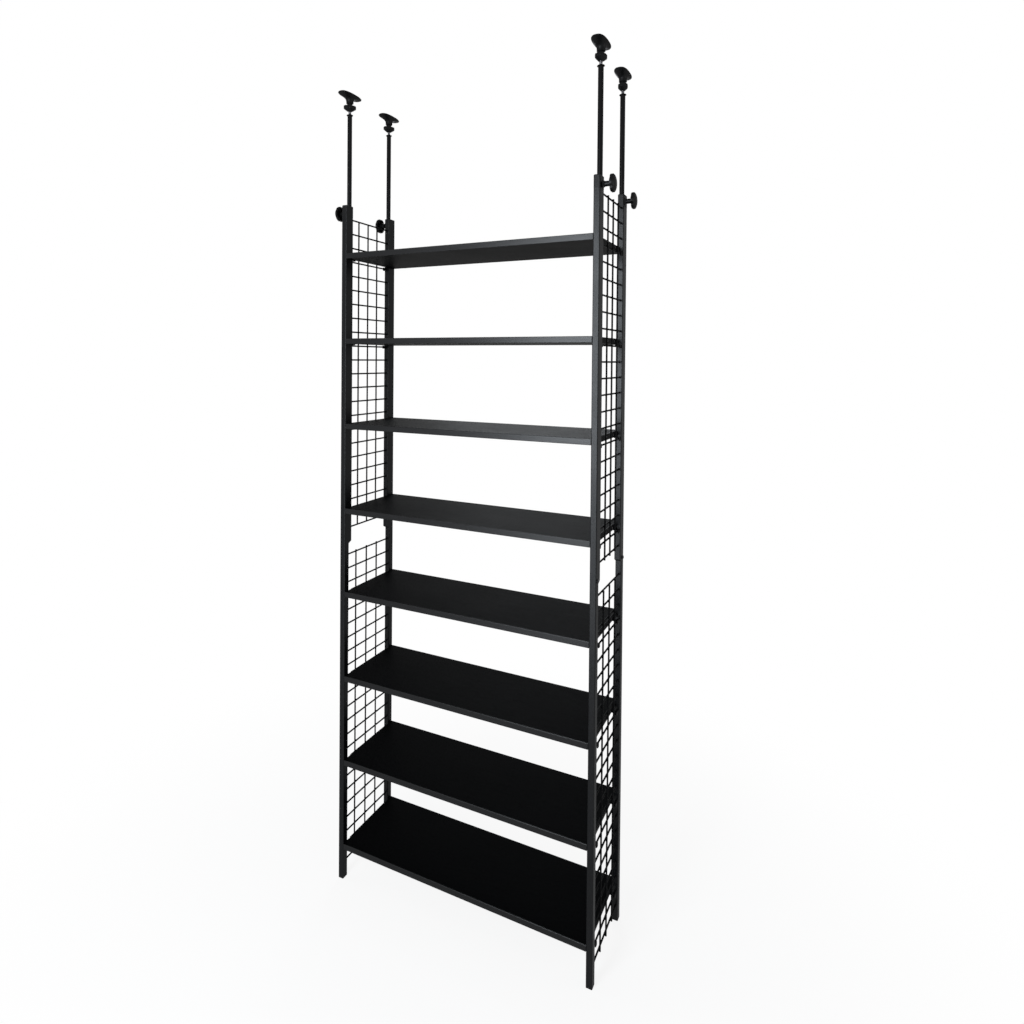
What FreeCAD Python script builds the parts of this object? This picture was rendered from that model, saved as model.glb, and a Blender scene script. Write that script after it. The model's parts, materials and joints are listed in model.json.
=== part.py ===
import FreeCAD, Part
import math
import os

# Shelf unit held between floor and ceiling by four tension poles.  Two welded
# side frames, each a lower and an upper section of posts and wire mesh, carry
# eight boards that hang on the mesh by hooks.  A pole slides in each upper
# post, is clamped by a knob, and ends in a screw-out ceiling pad.
# +X is to the right, +Y to the back, +Z up, and the floor is at Z = 0.

Vector = FreeCAD.Vector
UP = Vector(0, 0, 1)
OUTWARD = Vector(1, 0, 0)

# ---------------------------------------------------------------- sizes, in mm
# Whole rack
RACK_WIDTH = 740.0              # over the outer faces of the side frames
RACK_DEPTH = 250.0              # over the front and back faces of the posts

# Fits
RUNNING_GAP = 0.05              # radial gap of a shaft that turns or slides
FIXED_GAP = 0.02                # radial gap of a piece that is pressed home
SEAT_GAP = 0.1                  # between a hook and the wire it sits on
SWIVEL_GAP = 0.3                # between faces that turn against each other
POLE_SIDE_GAP = 0.3             # between the pole and the walls of its post
SPIGOT_GAP = 0.15               # between a spigot and the post slid over it

# Posts: rectangular steel tube
POLE_DIAMETER = 13.0
POST_WALL = 1.2
POST_CORNER = 2.0               # outer radius of the tube's corners
LOWER_POST_DEPTH = 20.0
UPPER_POST_DEPTH = 32.0
LOWER_POST_LENGTH = 952.0
UPPER_POST_LENGTH = 927.0
FLOOR_OF_UPPER_POST = 1.5       # plate that closes the overhang at the joint
OVERHANG_SLOPE = 6.0            # rise of that sloping plate
SPIGOT_WALL = 1.5
SPIGOT_BELOW = 60.0
SPIGOT_ABOVE = 70.0

# Feet
FOOT_FLANGE = 3.0
FOOT_PLUG = 22.0
FOOT_EDGE = 1.2

# Joint bolts
BOLT_RISE = 8.0                 # above the joint
BOLT_SHANK = 6.0
BOLT_HEAD = 10.5
BOLT_HEAD_HEIGHT = 3.0
BOLT_CROWN = 5.8                # across the head's flat middle
BOLT_RIM = 0.9                  # height of the head's upright rim
BOLT_BULGE = (4.5, 2.35)        # radius and height that the head's curve passes through
BOLT_HEX = 4.0
BOLT_REACH = 7.0                # past the spigot's outer face

# Wire mesh
WIRE_DIAMETER = 4.4
WIRE_PITCH = 40.0
WIRES_PER_SECTION = 23
UPRIGHT_WIRES = 3
WELD_BITE = 0.15                # how far crossing wires are fused together
MESH_SETBACK = 0.3              # upright wires behind the outer face
LOWER_MESH_START = 40.0         # first wire above the floor
UPPER_MESH_START = 42.0         # first wire above the joint

# Shelves
SHELVES_PER_SECTION = 4
FIRST_SHELF_WIRE = 1
WIRES_BETWEEN_SHELVES = 6
BOARD_THICKNESS = 15.5
BOARD_END_GAP = 0.5             # between a board and the posts
BOARD_ARRIS = 1.3
BOARD_ABOVE_WIRE = 20.5         # board's top over the wire it hangs on

# Hook rails on the ends of the boards
RAIL_THICKNESS = 2.3
RAIL_LENGTH = 183.0
HOOK_WIDTH = 11.0
HOOK_SPREAD = 172.0             # between the two hooks of a rail
HOOK_DROP = 4.5                 # tip of the hook below the wire's centre
HOOK_SIDE_GAP = 0.3
RAIL_SCREWS = 3
RAIL_SCREW_SPACING = 60.0
RAIL_SCREW_SHANK = 3.5
RAIL_SCREW_HEAD = 7.0
RAIL_SCREW_HEAD_HEIGHT = 1.8
RAIL_SCREW_HEAD_EDGE = 0.9
RAIL_SCREW_LENGTH = 22.0        # depth of its hole in the board
SCREW_END_GAP = 1.0             # between the screw's end and the bottom of its hole

# Pole guide: moulded cap on each upper post, with the clamp's boss
GUIDE_HEIGHT = 31.0
GUIDE_PROUD = 0.4
GUIDE_CORNER = 3.0
GUIDE_HIP = 3.5
GUIDE_HIP_SHARE = 0.8           # most of the wall round the pole that the hip may take
GUIDE_PLUG = 20.0
CLAMP_RISE = 12.0               # clamp's axis above the guide's underside
BOSS_BASE = 18.0
BOSS_TIP = 14.0
BOSS_HEIGHT = 4.0
NUT_DIAMETER = 11.0
NUT_LENGTH = 5.0

# Clamp screw and its knob
CLAMP_SHANK = 8.0
CLAMP_TIP_GAP = 0.2
CLAMP_TIP_EDGE = 0.7
CLAMP_IN_KNOB = 16.0            # length of screw held in the knob
KNOB_DIAMETER = 43.0
KNOB_BACK = 19.0                # from the guide's face to the knob's rim
KNOB_RIM = 6.5
KNOB_DOME = 5.0
KNOB_BULGE = (14.0, 3.6)        # radius and rise that the dome's curve passes through
KNOB_HUB = 13.0
KNOB_HOLLOW_DEPTH = 6.0
KNOB_WALL = 2.0
KNOB_DRAFT = 1.5
KNOB_CROWN = 4.0                # radius of the dome's flat middle
KNOB_LOBES = 6
KNOB_SCALLOP_RADIUS = 9.0
KNOB_SCALLOP_DEPTH = 1.8

# Tension pole
POLE_WALL = 1.5
POLE_LENGTH = 600.0
POLE_SHOWN = 257.0              # above the guide, as stored
BUSH_FLANGE_DIAMETER = 18.0
BUSH_FLANGE = 2.0
BUSH_EDGE = 0.8
BUSH_PLUG = 25.0

# Screw-out ceiling pad
ROD_DIAMETER = 8.0
ROD_SHOWN = 9.0                 # between the bush and the adjuster wheel
ROD_IN_POLE = 120.0
ROD_IN_PAD = 12.0
WHEEL_LENGTH = 35.5             # the wheel is oval
WHEEL_WIDTH = 24.5
WHEEL_SQUARENESS = 2.3          # exponent of the wheel's superellipse outline
WHEEL_HEIGHT = 22.7
WHEEL_FOOT = 11.0
WHEEL_NECK = 14.0
WHEEL_RIM_LOW = 8.3
WHEEL_RIM_HIGH = 15.8
WHEEL_EDGE = 0.8
WHEEL_FLUTES = 12
WHEEL_FLUTE_RADIUS = 2.6
WHEEL_FLUTE_DEPTH = 0.9
# Degrees that each wheel stands turned from its long way along the rack's depth.
WHEEL_TURNS = {"left_front": -37.0, "left_back": -23.0, "right_front": -12.0, "right_back": 10.0}
PAD_LENGTH = 90.0
PAD_WIDTH = 36.0
PAD_HEIGHT = 23.4
PAD_RIM = 3.5
PAD_HUB = 20.5
PAD_FLARE = 4                   # power by which the hub widens with height
PAD_SQUARENESS = 2.7            # exponent of the pad's superellipse outline
PAD_SECTIONS = 7
OUTLINE_POINTS = 24             # of the oval outlines

# ----------------------------------------------------- what follows from them
HALF_WIDTH = RACK_WIDTH / 2
HALF_DEPTH = RACK_DEPTH / 2
POST_WIDTH = POLE_DIAMETER + 2 * (POLE_SIDE_GAP + POST_WALL)
POST_INNER_FACE = HALF_WIDTH - POST_WIDTH

JOINT_Z = FOOT_FLANGE + LOWER_POST_LENGTH
POST_TOP_Z = JOINT_Z + UPPER_POST_LENGTH
GUIDE_TOP_Z = POST_TOP_Z + GUIDE_HEIGHT
POLE_TOP_Z = GUIDE_TOP_Z + POLE_SHOWN
BUSH_TOP_Z = POLE_TOP_Z + BUSH_FLANGE
WHEEL_Z = BUSH_TOP_Z + ROD_SHOWN
PAD_Z = WHEEL_Z + WHEEL_HEIGHT + SWIVEL_GAP
PAD_TOP_Z = PAD_Z + PAD_HEIGHT

POLE_X = HALF_WIDTH - POST_WIDTH / 2
POLE_Y = HALF_DEPTH - UPPER_POST_DEPTH + POST_WALL + POLE_SIDE_GAP + POLE_DIAMETER / 2
LOWER_POST_Y = HALF_DEPTH - LOWER_POST_DEPTH / 2
CLAMP_Z = POST_TOP_Z + CLAMP_RISE
GUIDE_FACE = HALF_WIDTH + GUIDE_PROUD

UPRIGHT_WIRE_X = HALF_WIDTH - MESH_SETBACK - WIRE_DIAMETER / 2
CROSS_WIRE_X = UPRIGHT_WIRE_X - WIRE_DIAMETER + WELD_BITE

BOARD_END = POST_INNER_FACE - BOARD_END_GAP

# Each corner of the rack as the signs of its X and Y.
CORNERS = {
    "left_front": (-1, -1),
    "left_back": (-1, 1),
    "right_front": (1, -1),
    "right_back": (1, 1),
}
SIDES = {"left": -1, "right": 1}
# Each section of a side frame: its first wire's height and its posts' depth.
SECTIONS = {
    "lower": (LOWER_MESH_START, LOWER_POST_DEPTH),
    "upper": (JOINT_Z + UPPER_MESH_START, UPPER_POST_DEPTH),
}


# ------------------------------------------------------------------- helpers
def cylinder(diameter, length, base, axis=UP):
    """Round bar that starts at base and runs along axis."""
    return Part.makeCylinder(diameter / 2, length, base, axis)


def block(low, high):
    """Box between two opposite corners."""
    size = high - low
    return Part.makeBox(size.x, size.y, size.z, low)


def rounded_bar(low, high, radius):
    """Upright rectangular bar with rounded vertical corners."""
    bar = block(low, high)
    upright = [e for e in bar.Edges if abs(e.tangentAt(e.FirstParameter).z) > 0.9]
    return bar.makeFillet(radius, upright)


def post_bar(depth, bottom, top, inset=0.0):
    """Bar with a post's outline in the right-back corner, drawn in by inset."""
    low = Vector(POST_INNER_FACE + inset, HALF_DEPTH - depth + inset, bottom)
    high = Vector(HALF_WIDTH - inset, HALF_DEPTH - inset, top)
    return rounded_bar(low, high, max(POST_CORNER - inset, 0.4))


def turned(outline):
    """Solid of revolution about Z from a closed wire in the XZ plane."""
    return Part.Face(outline).revolve(Vector(0, 0, 0), UP, 360)


def straight_edges(points):
    """Edges between (radius, height) corners, in order."""
    return [Part.LineSegment(Vector(a[0], 0, a[1]), Vector(b[0], 0, b[1])).toShape()
            for a, b in zip(points, points[1:])]


def turned_from_points(points):
    """Solid of revolution about Z from (radius, height) corners."""
    corners = [Vector(radius, 0, height) for radius, height in points]
    return turned(Part.makePolygon(corners + corners[:1]))


def ring_of_cutters(count, centre_radius, cutter_radius, length):
    """Upright round cutters spread evenly round the Z axis."""
    step = 2 * math.pi / count
    bases = [Vector(centre_radius * math.cos(step * i), centre_radius * math.sin(step * i), 0)
             for i in range(count)]
    return [cylinder(2 * cutter_radius, length, base) for base in bases]


def placed(shape, origin, axis=UP):
    """Move a shape made about Z to origin, with its Z turned to axis."""
    turn = FreeCAD.Placement(origin, FreeCAD.Rotation(UP, axis))
    return shape.transformed(turn.toMatrix())


def at_corner(shape, corner):
    """Mirror a piece of the right-back corner to another corner."""
    sign_x, sign_y = CORNERS[corner]
    if sign_x < 0:
        shape = shape.mirror(Vector(0, 0, 0), Vector(1, 0, 0))
    if sign_y < 0:
        shape = shape.mirror(Vector(0, 0, 0), Vector(0, 1, 0))
    return shape


def at_side(shape, side):
    """Mirror a piece of the right side frame to the named side."""
    if SIDES[side] < 0:
        return shape.mirror(Vector(0, 0, 0), Vector(1, 0, 0))
    return shape


def export(shape, node):
    """Write one node, as a plain group of its closed solids."""
    solids = shape.Solids
    assert solids and all(s.isValid() and s.Volume > 0 for s in solids), node
    Part.makeCompound(solids).exportStep("parts/%s.step" % node)


# --------------------------------------------------------------- side frames
def lower_post():
    """Tube with the spigot that joins the sections welded into its top."""
    outer = post_bar(LOWER_POST_DEPTH, FOOT_FLANGE, JOINT_Z)
    bore = post_bar(LOWER_POST_DEPTH, FOOT_FLANGE, JOINT_Z, POST_WALL)
    tube = outer.cut(bore)
    root = post_bar(LOWER_POST_DEPTH, JOINT_Z - SPIGOT_BELOW, JOINT_Z, POST_WALL)
    inset = POST_WALL + SPIGOT_GAP
    tongue = post_bar(LOWER_POST_DEPTH, JOINT_Z, JOINT_Z + SPIGOT_ABOVE, inset)
    hollow = post_bar(LOWER_POST_DEPTH, JOINT_Z - SPIGOT_BELOW, JOINT_Z + SPIGOT_ABOVE,
                      inset + SPIGOT_WALL)
    spigot = root.fuse(tongue).cut(hollow)
    return tube.fuse(spigot).cut(bolt_hole()).removeSplitter()


def upper_post():
    """Deeper tube; its overhang past the lower post ends in a sloping plate."""
    outer = post_bar(UPPER_POST_DEPTH, JOINT_Z, POST_TOP_Z)
    inner_y = HALF_DEPTH - UPPER_POST_DEPTH
    step_y = HALF_DEPTH - LOWER_POST_DEPTH
    slope = Part.makePolygon([
        Vector(POST_INNER_FACE, inner_y, JOINT_Z),
        Vector(POST_INNER_FACE, step_y, JOINT_Z),
        Vector(POST_INNER_FACE, inner_y, JOINT_Z + OVERHANG_SLOPE),
        Vector(POST_INNER_FACE, inner_y, JOINT_Z),
    ])
    wedge = Part.Face(slope).extrude(Vector(POST_WIDTH, 0, 0))
    cavity_z = JOINT_Z + OVERHANG_SLOPE + FLOOR_OF_UPPER_POST
    cavity = post_bar(UPPER_POST_DEPTH, cavity_z, POST_TOP_Z, POST_WALL)
    socket = post_bar(LOWER_POST_DEPTH, JOINT_Z, cavity_z, POST_WALL)
    return outer.cut(wedge).cut(cavity).cut(socket).cut(bolt_hole()).removeSplitter()


def bolt_hole():
    """Hole for the joint bolt through the post's outer wall and the spigot."""
    reach = POST_WALL + SPIGOT_GAP + SPIGOT_WALL
    base = Vector(HALF_WIDTH - reach - RUNNING_GAP, LOWER_POST_Y, JOINT_Z + BOLT_RISE)
    return cylinder(BOLT_SHANK + 2 * RUNNING_GAP, reach + 1, base, OUTWARD)


def joint_bolt():
    """Button-head bolt, its head on the outer face of the post."""
    shank_length = POST_WALL + SPIGOT_GAP + BOLT_REACH
    shank = cylinder(BOLT_SHANK, shank_length + BOLT_HEAD_HEIGHT / 2, Vector(0, 0, -shank_length))
    radius = BOLT_HEAD / 2
    crown = BOLT_CROWN / 2
    bulge_radius, bulge_z = BOLT_BULGE
    button = Part.Arc(Vector(radius, 0, BOLT_RIM), Vector(bulge_radius, 0, bulge_z),
                      Vector(crown, 0, BOLT_HEAD_HEIGHT)).toShape()
    below = straight_edges([(0, 0), (radius, 0), (radius, BOLT_RIM)])
    above = straight_edges([(crown, BOLT_HEAD_HEIGHT), (0, BOLT_HEAD_HEIGHT), (0, 0)])
    head = turned(Part.Wire(below + [button] + above))
    corner = BOLT_HEX / math.sqrt(3)
    angles = [math.radians(60 * i) for i in range(7)]
    hexagon = [Vector(corner * math.cos(a), corner * math.sin(a), BOLT_HEAD_HEIGHT / 2)
               for a in angles]
    key_hole = Part.Face(Part.makePolygon(hexagon)).extrude(Vector(0, 0, BOLT_HEAD_HEIGHT))
    bolt = head.fuse(shank).cut(key_hole)
    return placed(bolt, Vector(HALF_WIDTH, LOWER_POST_Y, JOINT_Z + BOLT_RISE), OUTWARD)


def foot():
    """Moulded foot with a plug that fills the end of the lower post."""
    flange = post_bar(LOWER_POST_DEPTH, 0, FOOT_FLANGE)
    bottom = [e for e in flange.Edges if abs(e.CenterOfMass.z) < 1e-6]
    flange = flange.makeFillet(FOOT_EDGE, bottom)
    plug = post_bar(LOWER_POST_DEPTH, FOOT_FLANGE, FOOT_FLANGE + FOOT_PLUG, POST_WALL + FIXED_GAP)
    return flange.fuse(plug).removeSplitter()


def mesh_panel(section):
    """Wires of one section of the right side frame, welded into one grid."""
    start, post_depth = SECTIONS[section]
    half_span = HALF_DEPTH - post_depth
    top = start + (WIRES_PER_SECTION - 1) * WIRE_PITCH
    cross_wires = [
        cylinder(WIRE_DIAMETER, 2 * half_span,
                 Vector(CROSS_WIRE_X, -half_span, start + i * WIRE_PITCH), Vector(0, 1, 0))
        for i in range(WIRES_PER_SECTION)]
    gap = 2 * half_span / (UPRIGHT_WIRES + 1)
    upright_wires = [
        cylinder(WIRE_DIAMETER, top - start + WIRE_DIAMETER,
                 Vector(UPRIGHT_WIRE_X, (i + 1) * gap - half_span, start - WIRE_DIAMETER / 2))
        for i in range(UPRIGHT_WIRES)]
    return cross_wires[0].multiFuse(cross_wires[1:] + upright_wires)


# -------------------------------------------------------------------- shelves
def shelf_tops():
    """Heights of the boards' top faces, from the lowest up."""
    wires = [FIRST_SHELF_WIRE + i * WIRES_BETWEEN_SHELVES for i in range(SHELVES_PER_SECTION)]
    return [start + wire * WIRE_PITCH + BOARD_ABOVE_WIRE
            for start, _ in SECTIONS.values() for wire in wires]


def rail_screw_places():
    """Positions along Y of the screws that hold a hook rail."""
    middle = (RAIL_SCREWS - 1) / 2
    return [(i - middle) * RAIL_SCREW_SPACING for i in range(RAIL_SCREWS)]


def screw_hole(y, top):
    """Hole for one rail screw, through the rail and into the board's end."""
    length = RAIL_SCREW_LENGTH + RAIL_THICKNESS
    base = Vector(BOARD_END - RAIL_SCREW_LENGTH, y, top - BOARD_THICKNESS / 2)
    return cylinder(RAIL_SCREW_SHANK + 2 * FIXED_GAP, length, base, OUTWARD)


def board(top):
    """Board with eased long edges and screw holes in both ends."""
    low = Vector(-BOARD_END, -HALF_DEPTH, top - BOARD_THICKNESS)
    slab = block(low, Vector(BOARD_END, HALF_DEPTH, top))
    long_edges = [e for e in slab.Edges if abs(e.tangentAt(e.FirstParameter).x) > 0.9]
    slab = slab.makeFillet(BOARD_ARRIS, long_edges)
    holes = [at_side(screw_hole(y, top), side) for y in rail_screw_places() for side in SIDES]
    return slab.cut(holes)


def hook_rail(top):
    """Steel rail on a board's right end, with two hooks over the wire."""
    underside = top - BOARD_THICKNESS
    wire_z = top - BOARD_ABOVE_WIRE
    seat_z = wire_z + WIRE_DIAMETER / 2 + SEAT_GAP
    outer_face = BOARD_END + RAIL_THICKNESS
    plate = block(Vector(BOARD_END, -RAIL_LENGTH / 2, underside),
                  Vector(outer_face, RAIL_LENGTH / 2, top))
    lip_x = CROSS_WIRE_X + WIRE_DIAMETER / 2 + HOOK_SIDE_GAP
    tip_x = lip_x + RAIL_THICKNESS
    tip_z = wire_z - HOOK_DROP
    side_view = [(BOARD_END, underside), (BOARD_END, seat_z), (lip_x, seat_z), (lip_x, tip_z),
                 (tip_x, tip_z), (tip_x, seat_z + RAIL_THICKNESS),
                 (outer_face, seat_z + RAIL_THICKNESS), (outer_face, underside)]
    rail = plate
    for sign in (-1, 1):
        y = sign * HOOK_SPREAD / 2 - HOOK_WIDTH / 2
        corners = [Vector(x, y, z) for x, z in side_view]
        hook = Part.Face(Part.makePolygon(corners + corners[:1])).extrude(Vector(0, HOOK_WIDTH, 0))
        tip = [e for e in hook.Edges
               if abs(e.tangentAt(e.FirstParameter).x) > 0.9 and abs(e.CenterOfMass.z - tip_z) < 1e-6]
        hook = hook.makeFillet(min(RAIL_THICKNESS, HOOK_WIDTH / 3), tip)
        rail = rail.fuse(hook)
    return rail.cut([screw_hole(y, top) for y in rail_screw_places()]).removeSplitter()


def rail_screw(y, top):
    """Pan-head screw through the rail into the board."""
    shank_length = RAIL_SCREW_LENGTH - SCREW_END_GAP + RAIL_THICKNESS
    shank = cylinder(RAIL_SCREW_SHANK, shank_length, Vector(0, 0, -shank_length))
    head = cylinder(RAIL_SCREW_HEAD, RAIL_SCREW_HEAD_HEIGHT, Vector(0, 0, 0))
    rim = [e for e in head.Edges if abs(e.CenterOfMass.z - RAIL_SCREW_HEAD_HEIGHT) < 1e-6]
    head = head.makeChamfer(RAIL_SCREW_HEAD_EDGE, rim)
    origin = Vector(BOARD_END + RAIL_THICKNESS, y, top - BOARD_THICKNESS / 2)
    return placed(head.fuse(shank), origin, OUTWARD)


def hook_rails(top):
    """Both rails of a board with their screws."""
    right = [hook_rail(top)] + [rail_screw(y, top) for y in rail_screw_places()]
    return Part.makeCompound([at_side(piece, side) for piece in right for side in SIDES])


# ---------------------------------------------------------------- pole guides
def pole_guide():
    """Hipped cap with the pole's bore, the clamp's boss and a plug."""
    low = Vector(POST_INNER_FACE - GUIDE_PROUD, HALF_DEPTH - UPPER_POST_DEPTH - GUIDE_PROUD, POST_TOP_Z)
    high = Vector(GUIDE_FACE, HALF_DEPTH, GUIDE_TOP_Z)
    cap = rounded_bar(low, high, GUIDE_CORNER)
    top_rim = [e for e in cap.Edges if abs(e.CenterOfMass.z - GUIDE_TOP_Z) < 1e-6]
    wall = (POST_WIDTH + 2 * GUIDE_PROUD - POLE_DIAMETER) / 2
    cap = cap.makeChamfer(min(GUIDE_HIP, GUIDE_HIP_SHARE * wall), top_rim)
    boss = Part.makeCone(BOSS_BASE / 2, BOSS_TIP / 2, BOSS_HEIGHT,
                         Vector(GUIDE_FACE, POLE_Y, CLAMP_Z), OUTWARD)
    inset = POST_WALL + FIXED_GAP
    plug_low = Vector(POST_INNER_FACE + inset, POLE_Y + POLE_DIAMETER / 2 + POLE_SIDE_GAP,
                      POST_TOP_Z - GUIDE_PLUG)
    plug_high = Vector(HALF_WIDTH - inset, HALF_DEPTH - inset, POST_TOP_Z)
    plug = rounded_bar(plug_low, plug_high, max(POST_CORNER - inset, 0.4))
    pole_bore = cylinder(POLE_DIAMETER + 2 * RUNNING_GAP, GUIDE_HEIGHT + GUIDE_PLUG,
                         Vector(POLE_X, POLE_Y, POST_TOP_Z - GUIDE_PLUG))
    nut_seat = cylinder(NUT_DIAMETER + 2 * FIXED_GAP, NUT_LENGTH,
                        Vector(GUIDE_FACE + BOSS_HEIGHT - NUT_LENGTH, POLE_Y, CLAMP_Z), OUTWARD)
    screw_way = cylinder(CLAMP_SHANK + 2 * SWIVEL_GAP, BOSS_HEIGHT + POST_WIDTH / 2,
                         Vector(POLE_X, POLE_Y, CLAMP_Z), OUTWARD)
    guide = cap.fuse(boss).fuse(plug)
    return guide.cut([pole_bore, nut_seat, screw_way]).removeSplitter()


def clamp_nut():
    """Threaded bush pressed into the guide's boss."""
    base = Vector(GUIDE_FACE + BOSS_HEIGHT - NUT_LENGTH, POLE_Y, CLAMP_Z)
    outer = cylinder(NUT_DIAMETER, NUT_LENGTH, base, OUTWARD)
    return outer.cut(cylinder(CLAMP_SHANK + 2 * RUNNING_GAP, NUT_LENGTH, base, OUTWARD))


# -------------------------------------------------------------- clamp screws
def clamp_screw():
    """Screw from just short of the pole's side to its seat in the knob."""
    tip_x = POLE_X + POLE_DIAMETER / 2 + CLAMP_TIP_GAP
    end_x = GUIDE_FACE + BOSS_HEIGHT + SWIVEL_GAP + CLAMP_IN_KNOB
    screw = cylinder(CLAMP_SHANK, end_x - tip_x, Vector(tip_x, POLE_Y, CLAMP_Z), OUTWARD)
    tip = [e for e in screw.Edges if abs(e.CenterOfMass.x - tip_x) < 1e-6 and e.Closed]
    return screw.makeChamfer(CLAMP_TIP_EDGE, tip)


def clamp_knob():
    """Lobed mushroom knob: long hub, hollow back and a low dome."""
    radius = KNOB_DIAMETER / 2
    hub_radius = KNOB_HUB / 2
    seat_radius = CLAMP_SHANK / 2 + RUNNING_GAP
    hollow_radius = radius - KNOB_SCALLOP_DEPTH - KNOB_WALL
    hub_z = BOSS_HEIGHT + SWIVEL_GAP
    hollow_z = KNOB_BACK + KNOB_HOLLOW_DEPTH
    rim_z = KNOB_BACK + KNOB_RIM
    top_z = rim_z + KNOB_DOME
    seat_z = hub_z + CLAMP_IN_KNOB + SWIVEL_GAP
    back = [(0, seat_z), (seat_radius, seat_z), (seat_radius, hub_z), (hub_radius, hub_z),
            (hub_radius, hollow_z), (hollow_radius - KNOB_DRAFT, hollow_z),
            (hollow_radius, KNOB_BACK), (radius, KNOB_BACK), (radius, rim_z)]
    front = [(KNOB_CROWN, top_z), (0, top_z), (0, seat_z)]
    bulge_radius, bulge_rise = KNOB_BULGE
    dome = Part.Arc(Vector(radius, 0, rim_z), Vector(bulge_radius, 0, rim_z + bulge_rise),
                    Vector(KNOB_CROWN, 0, top_z)).toShape()
    knob = turned(Part.Wire(straight_edges(back) + [dome] + straight_edges(front)))
    scallops = ring_of_cutters(KNOB_LOBES, radius + KNOB_SCALLOP_RADIUS - KNOB_SCALLOP_DEPTH,
                               KNOB_SCALLOP_RADIUS, 2 * top_z)
    return placed(knob.cut(scallops), Vector(GUIDE_FACE, POLE_Y, CLAMP_Z), OUTWARD)


# ------------------------------------------------------ poles and ceiling pads
def on_pole_axis(shape, z):
    """Stand a piece made about Z on the axis of the right-back pole."""
    return placed(shape, Vector(POLE_X, POLE_Y, z))


def pole():
    """Tube that slides in the upper post."""
    outer = cylinder(POLE_DIAMETER, POLE_LENGTH, Vector(0, 0, -POLE_LENGTH))
    bore = cylinder(POLE_DIAMETER - 2 * POLE_WALL, POLE_LENGTH, Vector(0, 0, -POLE_LENGTH))
    return on_pole_axis(outer.cut(bore), POLE_TOP_Z)


def pole_bush():
    """Flanged, threaded bush in the pole's top end."""
    plug_radius = POLE_DIAMETER / 2 - POLE_WALL - FIXED_GAP
    flange_radius = BUSH_FLANGE_DIAMETER / 2
    bore_radius = ROD_DIAMETER / 2 + RUNNING_GAP
    bush = turned_from_points([
        (bore_radius, -BUSH_PLUG), (plug_radius, -BUSH_PLUG), (plug_radius, 0),
        (flange_radius, 0), (flange_radius, BUSH_FLANGE - BUSH_EDGE),
        (flange_radius - BUSH_EDGE, BUSH_FLANGE), (bore_radius, BUSH_FLANGE)])
    return on_pole_axis(bush, POLE_TOP_Z)


def threaded_rod():
    """Rod that screws up out of the bush and carries wheel and pad."""
    length = ROD_IN_POLE + BUSH_FLANGE + ROD_SHOWN + WHEEL_HEIGHT + SWIVEL_GAP + ROD_IN_PAD
    return on_pole_axis(cylinder(ROD_DIAMETER, length, Vector(0, 0, -ROD_IN_POLE)), POLE_TOP_Z)


def outline_point(half_width, half_length, exponent, angle, z):
    """Point at an angle of a superellipse that is long along Y."""
    c, s = math.cos(angle), math.sin(angle)
    return Vector(half_width * math.copysign(abs(c) ** (2 / exponent), c),
                  half_length * math.copysign(abs(s) ** (2 / exponent), s), z)


def superellipse(half_width, half_length, exponent, z):
    """Closed smooth outline, long along Y."""
    curve = Part.BSplineCurve()
    curve.interpolate(Points=[
        outline_point(half_width, half_length, exponent, 2 * math.pi * i / OUTLINE_POINTS, z)
        for i in range(OUTLINE_POINTS)], PeriodicFlag=True)
    return Part.Wire(curve.toShape())


def wheel_outline(inset, z):
    """Outline of the adjuster wheel, drawn in by inset."""
    return superellipse(WHEEL_WIDTH / 2 - inset, WHEEL_LENGTH / 2 - inset, WHEEL_SQUARENESS, z)


def wheel_flutes():
    """Upright cutters spread round the wheel's oval rim."""
    cutters = []
    for i in range(WHEEL_FLUTES):
        angle = 2 * math.pi * (i + 0.5) / WHEEL_FLUTES
        on_rim = outline_point(WHEEL_WIDTH / 2, WHEEL_LENGTH / 2, WHEEL_SQUARENESS, angle, 0)
        slope = WHEEL_SQUARENESS - 1
        outward = Vector(
            math.copysign(abs(2 * on_rim.x / WHEEL_WIDTH) ** slope / WHEEL_WIDTH, on_rim.x),
            math.copysign(abs(2 * on_rim.y / WHEEL_LENGTH) ** slope / WHEEL_LENGTH, on_rim.y), 0)
        centre = on_rim + outward.normalize() * (WHEEL_FLUTE_RADIUS - WHEEL_FLUTE_DEPTH)
        cutters.append(cylinder(2 * WHEEL_FLUTE_RADIUS, WHEEL_HEIGHT, centre))
    return cutters


def adjuster_wheel(turn):
    """Fluted oval wheel fixed on the rod, turned by hand to lift the pad."""
    foot = superellipse(WHEEL_FOOT / 2, WHEEL_FOOT / 2, 2, 0)
    cone = Part.makeLoft([foot, wheel_outline(0, WHEEL_RIM_LOW)], True, True)
    rim = Part.Face(wheel_outline(0, WHEEL_RIM_LOW)).extrude(
        Vector(0, 0, WHEEL_RIM_HIGH - WHEEL_EDGE - WHEEL_RIM_LOW))
    edge = Part.makeLoft([wheel_outline(0, WHEEL_RIM_HIGH - WHEEL_EDGE),
                          wheel_outline(WHEEL_EDGE, WHEEL_RIM_HIGH)], True, True)
    neck = cylinder(WHEEL_NECK, WHEEL_HEIGHT - WHEEL_RIM_HIGH, Vector(0, 0, WHEEL_RIM_HIGH))
    bore = cylinder(ROD_DIAMETER + 2 * FIXED_GAP, WHEEL_HEIGHT, Vector(0, 0, 0))
    wheel = cone.fuse([rim, edge, neck]).cut(wheel_flutes() + [bore])
    wheel.rotate(Vector(0, 0, 0), UP, turn)
    return on_pole_axis(wheel, WHEEL_Z)


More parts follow.
